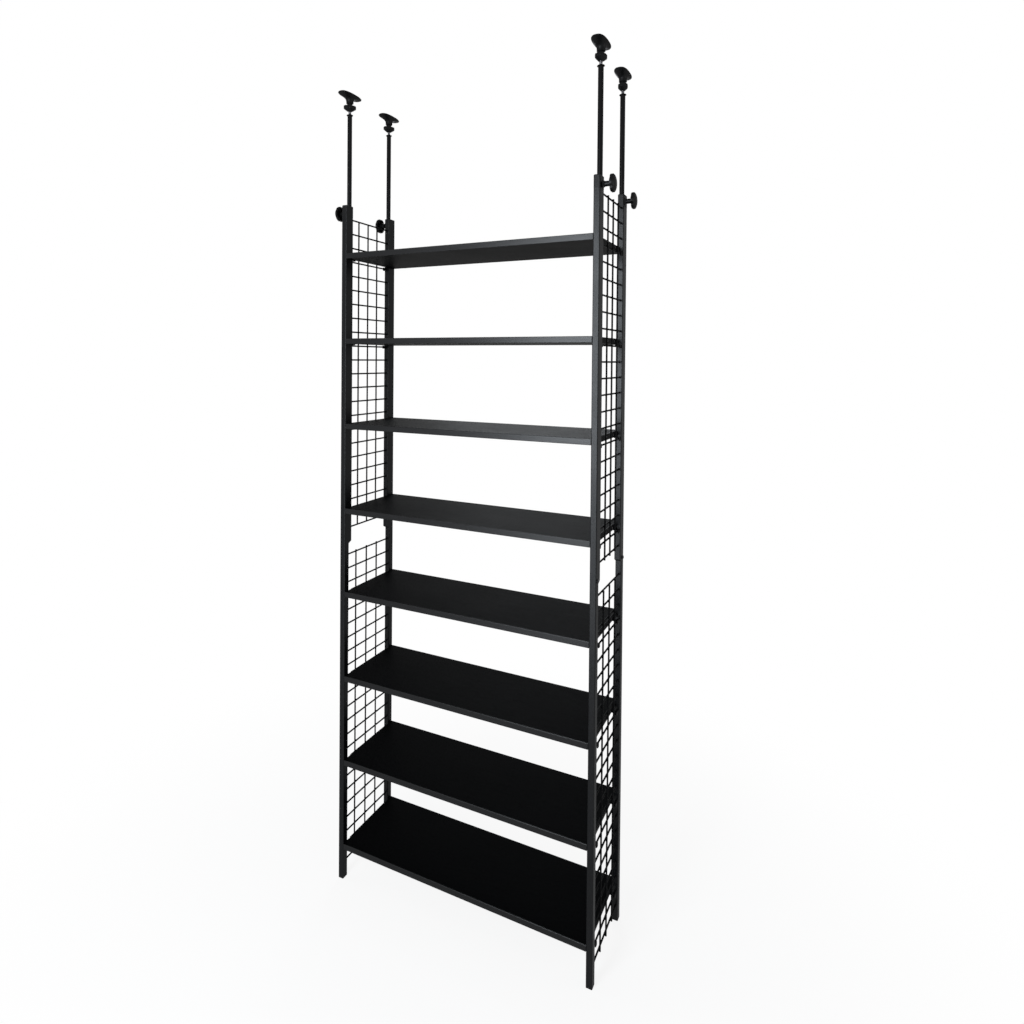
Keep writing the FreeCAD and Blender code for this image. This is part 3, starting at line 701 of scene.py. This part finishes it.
class SHELFUNIT_OT_posts(PieceOperator):
    """Posts: eased copies of the tubes in black powder coat"""

    bl_idname = "shelf_unit.posts"
    bl_label = "Posts"

    def execute(self, context):
        settings = context.scene.rack_coatings
        coat = powder_coat("post_powder_coat", settings.post_colour, settings.post_flakes,
                           settings.post_gloss)
        for section in ("lower", "upper"):
            for corner in CORNERS:
                node = f"{section}_post_{corner}"
                eased_piece(f"{section}_tube_{corner}", node, "frame", coat,
                            settings.edge_ease)
        return {"FINISHED"}


class SHELFUNIT_OT_mesh_panels(PieceOperator):
    """Mesh panels: welded wires between the posts of each section"""

    bl_idname = "shelf_unit.mesh_panels"
    bl_label = "Mesh Panels"

    def execute(self, context):
        settings = context.scene.rack_mesh
        radius = settings.wire_diameter / 2
        coatings = context.scene.rack_coatings
        coat = powder_coat("wire_powder_coat", coatings.mesh_colour, coatings.dull_flakes,
                           roughness=0.42)
        tree = wire_panel_tree()
        for node in MESH_PANELS:
            low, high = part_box(node)
            side = 1 if low.x > 0 else -1
            outer = side * (max(abs(low.x), abs(high.x)) - radius)
            inner = side * (min(abs(low.x), abs(high.x)) + radius)
            height = high.z - low.z
            wires = round((height - 2 * radius) / settings.wire_pitch) + 1
            mesh = tree.mesh(f"{node}_wires", {
                "Wires": wires, "Pitch": settings.wire_pitch, "Radius": radius,
                "Half span": high.y, "Bottom": low.z + radius, "Height": height,
                "Uprights": settings.uprights, "Upright gap": 2 * high.y / (settings.uprights + 1),
                "Cross place": inner, "Upright place": outer,
                "Weld": settings.weld_size, "Material": coat})
            shown(object_from(f"{node}_wires", mesh, []), "frame", [node])
        return {"FINISHED"}


class SHELFUNIT_OT_boards(PieceOperator):
    """Boards: laminated panels with rounded arrises and edge bands"""

    bl_idname = "shelf_unit.boards"
    bl_label = "Boards"

    def execute(self, context):
        settings = context.scene.rack_shelves
        foil = laminate("board_laminate", settings.board_colour)
        band = edge_band("board_edge_band", settings.band_colour, settings.band_flakes)
        for number in SHELVES:
            node = f"shelf_{number}_board"
            bm = bmesh.new()
            self.add_slab(bm, *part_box(node), settings.arris, settings.band_depth)
            board = object_from(f"shelf_{number}_panel", finished_bm(node, bm), [foil, band])
            shown(board, f"shelf_{number}", [node])
        return {"FINISHED"}

    @staticmethod
    def add_slab(bm, low, high, arris, band):
        """Slab between two corners; its long edges are rounded and banded."""
        seam = 0.12 * MM
        quarter = [(math.sin(math.radians(a)), math.cos(math.radians(a))) for a in range(0, 91, 18)]
        half = [(high.y - arris + arris * s, high.z - arris + arris * c) for s, c in quarter]
        groove = [(high.y - arris - band - seam, high.z), (high.y - arris - band, high.z - seam),
                  (high.y - arris - band + seam, high.z)]
        upper = groove + half
        lower = [(y, low.z + high.z - z) for y, z in reversed(upper)]
        front = upper + lower
        outline = front + [(-y, z) for y, z in reversed(front)]
        skin(bm, [[Vector((x, y, z)) for y, z in outline] for x in (low.x, high.x)])
        for face in bm.faces:
            middle = face.calc_center_median()
            if abs(middle.y) > high.y - arris - band or abs(middle.x) > high.x - seam:
                face.material_index = 1


class SHELFUNIT_OT_hook_rails(PieceOperator):
    """Hook rails and their screws on both ends of each board"""

    bl_idname = "shelf_unit.hook_rails"
    bl_label = "Hook Rails"

    def execute(self, context):
        coatings = context.scene.rack_coatings
        settings = context.scene.rack_shelves
        coat = powder_coat("rail_powder_coat", coatings.rail_colour, coatings.dull_flakes,
                           roughness=0.40)
        steel = plated_steel("screw_steel", settings.screw_colour, roughness=0.34)
        template = object_from("screw_template", self.screw_mesh(settings), [])
        tree = screws_tree()
        for number in SHELVES:
            node = f"shelf_{number}_hook_rails"
            bm = merged_copy(node)
            self.drop_screws(bm)
            ease_edges(bm, coatings.edge_ease)
            rails = object_from(f"shelf_{number}_rails", mesh_from(node, bm), [coat])
            shown(rails, f"shelf_{number}", [node])
            points = self.screw_points(node, settings)
            mesh = tree.mesh(f"shelf_{number}_rail_screws",
                             {"Screw": template, "Material": steel}, points)
            screws = object_from(f"shelf_{number}_rail_screws", mesh, [])
            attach(screws, f"shelf_{number}")
        bpy.data.objects.remove(template)
        return {"FINISHED"}

    @staticmethod
    def drop_screws(bm):
        """Leave only the rails of the CAD copy: a screw is far shorter along Y."""
        seen, screws = set(), []
        for first in bm.verts:
            island, edge = [], [first] if first not in seen else []
            while edge:
                vert = edge.pop()
                if vert not in seen:
                    seen.add(vert)
                    island.append(vert)
                    edge.extend(e.other_vert(vert) for e in vert.link_edges)
            spread = [v.co.y for v in island]
            if spread and max(spread) - min(spread) < SCREW_UNDER:
                screws += island
        bmesh.ops.delete(bm, geom=screws, context="VERTS")

    @staticmethod
    def screw_points(node, settings):
        """Where the screws' heads stand on the rails' outer faces."""
        low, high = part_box(node.replace("hook_rails", "board"))
        head_plane = high.x + settings.rail_face
        middle = (settings.screws_per_rail - 1) / 2
        places = [(side * head_plane, (i - middle) * settings.screw_spacing, (low.z + high.z) / 2)
                  for side in (1, -1) for i in range(settings.screws_per_rail)]
        mesh = bpy.data.meshes.new(f"{node}_points")
        mesh.from_pydata(places, [], [])
        return mesh

    @staticmethod
    def screw_mesh(settings):
        """Pan head with a cross recess, along X, over a short piece of shank."""
        radius = settings.screw_head / 2
        height = settings.screw_height
        arm, width = 0.52 * radius, 0.14 * radius
        corner = math.atan2(width, arm)
        quarter = [0.0, corner, math.pi / 4, math.pi / 2 - corner]
        angles = [a + k * math.pi / 2 for k in range(4) for a in quarter]

        def cross(scale):
            def reach(angle):
                off = (angle + math.pi / 4) % (math.pi / 2) - math.pi / 4
                if abs(off) < corner * 1.01:
                    return scale * arm / math.cos(off)
                return scale * width / math.sin(abs(off))
            return reach

        rings = turned(angles, (0.5 * radius, -1.0 * MM), (0.5 * radius, 0), (radius, 0),
                       (radius, 0.35 * height), (0.93 * radius, 0.66 * height),
                       (0.78 * radius, 0.88 * height), (0.62 * radius, height),
                       (cross(1.0), height), (cross(0.7), 0.35 * height))
        bm = bmesh.new()
        skin(bm, rings + [[Vector((0, 0, 0.3 * height))]])
        return finished_bm("screw", bm, turned_frame(Vector(), Vector((1, 0, 0))))


class SHELFUNIT_OT_feet(PieceOperator):
    """Feet: moulded plugs under the posts"""

    bl_idname = "shelf_unit.feet"
    bl_label = "Feet"

    def execute(self, context):
        plastic = fitting_plastic("foot_plastic", roughness=0.5)
        eased_piece("post_feet", "feet", "frame", plastic, width=0.3 * MM)
        return {"FINISHED"}


class SHELFUNIT_OT_joint_bolts(PieceOperator):
    """Joint bolts: blackened button heads on the joint between the sections"""

    bl_idname = "shelf_unit.joint_bolts"
    bl_label = "Joint Bolts"

    def execute(self, context):
        tint = context.scene.rack_fittings.bolt_colour
        steel = plated_steel("bolt_black_oxide", tint, roughness=0.36)
        eased_piece("section_bolts", "joint_bolts", "frame", steel, width=0.2 * MM)
        return {"FINISHED"}


class SHELFUNIT_OT_pole_guides(PieceOperator):
    """Pole guides: hipped caps with the boss of the clamp, and the threaded bushes in them"""

    bl_idname = "shelf_unit.pole_guides"
    bl_label = "Pole Guides"

    def execute(self, context):
        settings = context.scene.rack_fittings
        plastic = moulded_plastic("guide_plastic", settings.plastic_colour,
                                  context.scene.rack_coatings.post_flakes, roughness=0.40)
        zinc = plated_steel("bush_zinc", settings.zinc_colour, roughness=0.3)
        eased_piece("guide_caps", "pole_guides", "frame", plastic,
                    width=0.5 * MM)
        eased_piece("guide_bushes", "clamp_nuts", "frame", zinc, width=0.15 * MM)
        return {"FINISHED"}


class SHELFUNIT_OT_clamp_screws(PieceOperator):
    """Clamp screws: threaded rods that press on the poles"""

    bl_idname = "shelf_unit.clamp_screws"
    bl_label = "Clamp Screws"

    def execute(self, context):
        settings = context.scene.rack_fittings
        zinc = plated_steel("clamp_screw_zinc", settings.zinc_colour, roughness=0.3)
        for corner in CORNERS:
            node = f"clamp_screw_{corner}"
            place, size = outward_place(node)
            bm = bmesh.new()
            add_threaded_bar(bm, settings, size.z / 2, 0.0, settings.thread_lead, size.x)
            built_piece(f"clamp_thread_{corner}", node, f"clamp_{corner}", [zinc],
                        bm, place)
        return {"FINISHED"}


class SHELFUNIT_OT_clamp_knobs(PieceOperator):
    """Clamp knobs: lobed mushroom heads with ribbed hollow backs"""

    bl_idname = "shelf_unit.clamp_knobs"
    bl_label = "Clamp Knobs"

    hub_radius = 6.5 * MM
    bore_radius = 4.05 * MM
    back = 14.7 * MM        # from the hub's end to the back of the head
    seat = 16.3 * MM        # depth of the screw's seat in the hub
    rim = 6.5 * MM
    hollow = 6.0 * MM
    wall = 3.8 * MM
    lip = 0.7 * MM
    rib_half = 0.7 * MM
    dome_power = 2.9
    points_round = 96

    def execute(self, context):
        settings = context.scene.rack_fittings
        plastic = fitting_plastic("knob_plastic", roughness=0.36)
        for corner in CORNERS:
            node = f"clamp_knob_{corner}"
            place, size = outward_place(node)
            radius = size.y / 2
            reach = scalloped(radius, settings.lobes, settings.lobe_cutter, settings.lobe_depth)
            bm = bmesh.new()
            self.add_head(bm, reach, radius, size.x)
            self.add_ribs(bm, settings.lobes, radius)
            built_piece(f"lobed_knob_{corner}", node, f"knob_{corner}",
                        [plastic], bm, place)
        return {"FINISHED"}

    def add_head(self, bm, reach, radius, thickness):
        angles = fair_angles(self.points_round)
        rim_z = self.back + self.rim
        dome = thickness - rim_z

        def inset(amount):
            return lambda angle: reach(angle) - amount

        def on_dome(scale, drop=0.0):
            """Ring on the domed face, which the hollows cut straight down."""
            points = []
            for angle in angles:
                rho = reach(angle) * scale
                height = rim_z + dome * (1 - (rho / radius) ** self.dome_power) - drop
                points.append(Vector((rho * math.cos(angle), rho * math.sin(angle), height)))
            return points

        bore, hub, back = self.bore_radius, self.hub_radius, self.back
        hollow = radius - self.wall
        floor = back + self.hollow
        rings = [[Vector((0, 0, self.seat))]] + turned(
            angles, (bore, self.seat), (bore, 0.4 * MM), (bore + 0.4 * MM, 0),
            (hub - 0.4 * MM, 0), (hub, 0.4 * MM), (hub, floor - 1.2 * MM),
            (hub + 0.35 * MM, floor - 0.35 * MM), (hub + 1.2 * MM, floor),
            (hollow - 2.3 * MM, floor), (hollow - 1.5 * MM, floor - 0.8 * MM),
            (hollow, back + 0.3 * MM), (hollow + 0.3 * MM, back), (inset(self.lip), back),
            (inset(0.2 * self.lip), back + 0.2 * self.lip), (reach, back + self.lip))
        rings += [on_dome(1.0, 0.9 * MM), on_dome(0.990, 0.35 * MM)]
        rings += [on_dome(scale) for scale in (0.955, 0.88, 0.76, 0.6, 0.42, 0.22)]
        rings.append([Vector((0, 0, thickness))])
        skin(bm, rings)

    def add_ribs(self, bm, count, radius):
        """Radial ribs across the hollow back, sunk into hub and rim."""
        half = self.rib_half
        top = self.back + self.hollow + 0.4 * MM
        for i in range(count):
            rib = box(bm, (self.hub_radius - 0.5 * MM, -half, self.back + 1.4 * MM),
                      (radius - self.wall + 0.3 * MM, half, top))
            turn = Matrix.Rotation(2 * math.pi * (i + 0.5) / count, 4, "Z")
            for vert in rib:
                vert.co = turn @ vert.co


class SHELFUNIT_OT_poles(PieceOperator):
    """Poles with the flanged bushes in their top ends"""

    bl_idname = "shelf_unit.poles"
    bl_label = "Poles"

    def execute(self, context):
        coatings = context.scene.rack_coatings
        tube = drawn_tube_coat("pole_coat", coatings.pole_colour, coatings.pole_flakes)
        plastic = fitting_plastic("pole_bush_plastic", roughness=0.40)
        for corner in CORNERS:
            body = f"pole_{corner}"
            eased_piece(f"pole_tube_{corner}", f"pole_{corner}", body, tube,
                        width=0.2 * MM)
            eased_piece(f"pole_collar_{corner}", f"pole_bush_{corner}", body,
                        plastic, width=0.3 * MM)
        return {"FINISHED"}


class SHELFUNIT_OT_threaded_rods(PieceOperator):
    """Threaded rods between the poles and the ceiling pads"""

    bl_idname = "shelf_unit.threaded_rods"
    bl_label = "Threaded Rods"

    threaded_length = 80 * MM

    def execute(self, context):
        settings = context.scene.rack_fittings
        zinc = plated_steel("rod_zinc", settings.rod_colour, roughness=0.3)
        for corner in CORNERS:
            node = f"threaded_rod_{corner}"
            low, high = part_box(node)
            axis = Matrix.Translation(((low.x + high.x) / 2, (low.y + high.y) / 2, 0))
            bm = bmesh.new()
            add_threaded_bar(bm, settings, (high.x - low.x) / 2, low.z,
                             high.z - self.threaded_length, high.z)
            built_piece(f"rod_thread_{corner}", node, f"adjuster_{corner}", [zinc],
                        bm, axis)
        return {"FINISHED"}


class SHELFUNIT_OT_adjuster_wheels(PieceOperator):
    """Adjuster wheels: fluted ovals on a cone, turned by hand"""

    bl_idname = "shelf_unit.adjuster_wheels"
    bl_label = "Adjuster Wheels"

    bore_radius = 4.02 * MM
    foot_radius = 5.5 * MM
    neck_radius = 7.0 * MM
    rim_low = 8.3 * MM
    rim_high = 15.8 * MM
    squareness = 2.3
    points_round = 144

    def execute(self, context):
        settings = context.scene.rack_fittings
        plastic = fitting_plastic("wheel_plastic", roughness=0.36)
        for corner, turn in zip(CORNERS, settings.wheel_turns):
            node = f"adjuster_wheel_{corner}"
            place, size = upright_place(node)
            bm = bmesh.new()
            self.add_wheel(bm, settings, size.z)
            built_piece(f"fluted_wheel_{corner}", node, f"adjuster_{corner}",
                        [plastic], bm, place @ Matrix.Rotation(turn, 4, "Z"))
        return {"FINISHED"}

    def fluted_outline(self, settings):
        """Points round the rim, each with its way outwards and the depth of its flute."""
        half_x, half_y = settings.wheel_width / 2, settings.wheel_length / 2
        power = self.squareness
        step = 2 * math.pi / settings.flutes
        centres = [oval_point(half_x, half_y, power, (i + 0.5) * step)
                   for i in range(settings.flutes)]
        outline = []
        for angle in fair_angles(self.points_round):
            point = oval_point(half_x, half_y, power, angle)
            slope = [math.copysign(abs(at / half) ** (power - 1) / half, at)
                     for at, half in ((point.x, half_x), (point.y, half_y))]
            outward = Vector((*slope, 0.0)).normalized()
            off = min((point - centre).length for centre in centres)
            cut = math.sqrt(max(0.0, settings.flute_cutter ** 2 - off ** 2))
            flute = max(0.0, cut - settings.flute_cutter + settings.flute_depth)
            outline.append((point, outward, flute))
        return outline

    def add_wheel(self, bm, settings, height):
        outline = self.fluted_outline(settings)
        angles = fair_angles(len(outline))

        def rim(inset, z):
            return [point - outward * (inset + flute) + Vector((0, 0, z))
                    for point, outward, flute in outline]

        def between(rings, share_of_way, z):
            """Ring part of the way from one ring to another."""
            return [Vector((*first.lerp(last, share_of_way).xy, z)) for first, last in zip(*rings)]

        bore, foot, neck = self.bore_radius, self.foot_radius, self.neck_radius
        low, high = self.rim_low, self.rim_high
        cone = (ring(foot, 0, angles), rim(0, 0))
        shoulder = (rim(1.3 * MM, 0), ring(neck, 0, angles))
        rings = [[Vector((0, 0, 0.6 * MM))]]
        rings += turned(angles, (bore, 0.6 * MM), (bore, 0), (foot - 0.4 * MM, 0), (foot, 0.4 * MM))
        rings += [between(cone, t, low * t) for t in (0.3, 0.6, 0.88)]
        rings += [rim(0.35 * MM, low - 0.35 * MM), rim(0.06 * MM, low + 0.15 * MM),
                  rim(0, low + 0.6 * MM), rim(0, high - 0.9 * MM), rim(0.08 * MM, high - 0.5 * MM),
                  rim(0.35 * MM, high - 0.15 * MM), rim(0.8 * MM, high)]
        rings += [between(shoulder, t, high) for t in (0.1, 0.7)]
        rings += turned(
            angles, (neck + 0.9 * MM, high + 0.05 * MM), (neck + 0.25 * MM, high + 0.3 * MM),
            (neck, high + 1.0 * MM), (neck, height - 0.4 * MM), (neck - 0.4 * MM, height),
            (bore, height), (bore, height - 0.6 * MM))
        skin(bm, rings + [[Vector((0, 0, height - 0.6 * MM))]])


class SHELFUNIT_OT_ceiling_pads(PieceOperator):
    """Ceiling pads: oval plates on flaring hubs, with a rubber face"""

    bl_idname = "shelf_unit.ceiling_pads"
    bl_label = "Ceiling Pads"

    rim = 3.5 * MM
    hub_radius = 10.25 * MM
    squareness = 2.7
    flare_power = 4
    socket_radius = 4.05 * MM
    socket_depth = 12.3 * MM
    rubber_height = 1.4 * MM
    points_round = 72
    flare_steps = 14

    def execute(self, context):
        plastic = fitting_plastic("pad_plastic", roughness=0.42)
        face = rubber("pad_rubber", context.scene.rack_fittings.rubber_colour)
        for corner in CORNERS:
            node = f"ceiling_pad_{corner}"
            place, size = upright_place(node)
            bm = bmesh.new()
            self.add_pad(bm, size.x / 2, size.y / 2, size.z)
            built_piece(f"oval_pad_{corner}", node, f"pad_{corner}",
                        [plastic, face], bm, place)
        return {"FINISHED"}

    def add_pad(self, bm, half_x, half_y, height):
        rim_z = height - self.rim
        angles = fair_angles(self.points_round)
        hub = self.hub_radius

        def outline(reach_x, reach_y, squareness, z):
            return [oval_point(reach_x, reach_y, squareness, angle, z) for angle in angles]

        def flared(share_of_rise):
            flare = share_of_rise ** self.flare_power
            return outline(hub + flare * (half_x - hub), hub + flare * (half_y - hub),
                           2 + flare * (self.squareness - 2), share_of_rise * rim_z)

        def plate(inset, z):
            return outline(half_x - inset, half_y - inset, self.squareness, z)

        steps = self.flare_steps
        rise = [math.sin(math.pi / 2 * i / steps) for i in range(1, steps)]
        top = height - self.rubber_height
        rings = [[Vector((0, 0, self.socket_depth))]]
        rings += turned(angles, (self.socket_radius, self.socket_depth), (self.socket_radius, 0),
                        (hub - 0.5 * MM, 0))
        rings += [flared(share_of_rise) for share_of_rise in [0.03] + rise]
        rings += [plate(0.5 * MM, rim_z), plate(0, rim_z + 0.5 * MM), plate(0, top - 0.5 * MM),
                  plate(0.15 * MM, top - 0.15 * MM), plate(0.5 * MM, top), [Vector((0, 0, top))]]
        skin(bm, rings)
        skin(bm, [plate(1.1 * MM, top - 0.3 * MM), plate(1.1 * MM, height - 0.3 * MM),
                  plate(1.4 * MM, height)], 1)


class SHELFUNIT_OT_stage(PieceOperator):
    """Stage: pale floor, soft lights, surroundings and camera"""

    bl_idname = "shelf_unit.stage"
    bl_label = "Stage"

    floor_reach = 12.0
    shadow_core = 0.3       # from the middle, where the shadow begins to fade
    shadow_reach = 1.6      # where it has faded
    shadow_share = 0.12
    cool, plain = (0.90, 0.95, 1.0), (1.0, 1.0, 1.0)
    lamps = (               # name, place, aim, width and height, setting of the power, tint
        ("key", (-0.25, -2.15, 1.55), (0.1, 0.0, 1.45), (0.6, 1.5), "key_power", cool),
        ("low_key", (-0.25, -2.15, 0.25), (0.1, 0.0, 0.8), (0.6, 1.0), "low_power", cool),
        ("back", (-0.75, 2.4, 2.2), (0.1, 0.0, 0.6), (1.2, 0.9), "back_power", cool),
        ("right", (2.4, 0.6, 1.7), (0.0, 0.0, 1.0), (1.2, 1.6), "side_power", plain),
        ("left", (-2.5, -0.3, 1.5), (0.0, 0.0, 1.0), (1.2, 1.6), "side_power", plain))

    def execute(self, context):
        settings = context.scene.rack_stage
        self.add_floor()
        self.set_surroundings(settings.ambient)
        for name, place, aim, size, power, tint in self.lamps:
            self.add_lamp(name, Vector(place), Vector(aim), size, getattr(settings, power), tint)
        self.add_camera(settings)
        bpy.context.scene.view_settings.view_transform = "Standard"
        return {"FINISHED"}

    @staticmethod
    def background_rays(graph):
        """1 for the rays that show the background, as a camera or a mirror sees it."""
        rays = graph.tree.nodes.new("ShaderNodeLightPath")
        seen = [Value(graph, rays.outputs[name])
                for name in ("Is Camera Ray", "Is Glossy Ray", "Is Transmission Ray")]
        return seen[0].upper(seen[1]).upper(seen[2])

    def add_floor(self):
        """White floor that keeps a soft shadow near the rack."""
        bm = bmesh.new()
        bmesh.ops.create_grid(bm, x_segments=1, y_segments=1, size=self.floor_reach)
        finish = Finish("pale_floor")
        flat = finish.node("ShaderNodeVectorMath", {"operation": "MULTIPLY"},
                           {0: finish.place, 1: (1, 1, 0)})
        away = finish.node("ShaderNodeVectorMath", {"operation": "LENGTH"}, {0: flat}, out=1)
        plain = finish.shader(Base_Color=(0.9, 0.9, 0.9, 1.0), Roughness=0.8,
                              Specular_IOR_Level=0.0)
        white = finish.node("ShaderNodeEmission", {}, {"Color": (1, 1, 1, 1), "Strength": 1.0})
        faded = finish.range(self.shadow_core, self.shadow_reach, away)
        keep = (1 - faded) * self.shadow_share
        white_share = self.background_rays(finish) * (1 - keep)
        shader = finish.node("ShaderNodeMixShader", {}, {0: white_share, 1: plain, 2: white})
        floor = object_from("floor", mesh_from("floor", bm), [finish.done(shader)])

    def set_surroundings(self, ambient):
        world = bpy.data.worlds.new("surroundings")
        world.use_nodes = True
        graph = Graph(world.node_tree)
        graph.tree.nodes.clear()
        strength = self.background_rays(graph) * (1 - ambient) + ambient
        shader = graph.node("ShaderNodeBackground", {},
                            {"Color": (1, 1, 1, 1), "Strength": strength})
        graph.node("ShaderNodeOutputWorld", {}, {"Surface": shader})
        bpy.context.scene.world = world

    @staticmethod
    def add_lamp(name, place, aim, size, power, tint):
        lamp = bpy.data.lights.new(name, "AREA")
        lamp.color = tint
        lamp.shape = "RECTANGLE"
        lamp.size, lamp.size_y = size
        lamp.energy = power
        holder = bpy.data.objects.new(name, lamp)
        holder.location = place
        holder.rotation_euler = (aim - place).to_track_quat("-Z", "Y").to_euler()
        bpy.context.scene.collection.objects.link(holder)

    @staticmethod
    def add_camera(settings):
        camera = bpy.data.cameras.new("camera")
        camera.lens = settings.camera_lens
        camera.sensor_width = 36.0
        camera.shift_x, camera.shift_y = settings.camera_shift
        camera.clip_start = 0.05
        holder = bpy.data.objects.new("camera", camera)
        turn = Matrix.Rotation(settings.camera_turn, 4, "Z")
        level = Matrix.Rotation(math.pi / 2 - settings.camera_tilt, 4, "X")
        roll = Matrix.Rotation(settings.camera_roll, 4, "Z")
        holder.matrix_world = Matrix.Translation(settings.camera_place) @ turn @ level @ roll
        bpy.context.scene.collection.objects.link(holder)
        bpy.context.scene.camera = holder


class SHELFUNIT_PT_pieces(bpy.types.Panel):
    """Lists the pieces and their settings"""

    bl_label = "Shelf Unit"
    bl_space_type = "VIEW_3D"
    bl_region_type = "UI"
    bl_category = "Shelf Unit"

    def draw(self, context):
        for operator in OPERATORS:
            self.layout.operator(operator.bl_idname)
        for name in SETTINGS:
            group = getattr(context.scene, name)
            column = self.layout.box().column()
            for key in group.__annotations__:
                column.prop(group, key)


SETTINGS = {
    "rack_coatings": CoatingSettings,
    "rack_mesh": MeshSettings,
    "rack_shelves": ShelfSettings,
    "rack_fittings": FittingSettings,
    "rack_stage": StageSettings,
}
OPERATORS = tuple(PieceOperator.__subclasses__())       # in the order they stand above
CLASSES = (*SETTINGS.values(), *OPERATORS, SHELFUNIT_PT_pieces)


def register():
    for cls in CLASSES:
        bpy.utils.register_class(cls)
    for name, group in SETTINGS.items():
        setattr(bpy.types.Scene, name, PointerProperty(type=group))


def unregister():
    for name in SETTINGS:
        delattr(bpy.types.Scene, name)
    for cls in reversed(CLASSES):
        bpy.utils.unregister_class(cls)


def main():
    register()
    for operator in OPERATORS:
        group, name = operator.bl_idname.split(".")
        getattr(getattr(bpy.ops, group), name)()


if __name__ == "__main__":
    main()
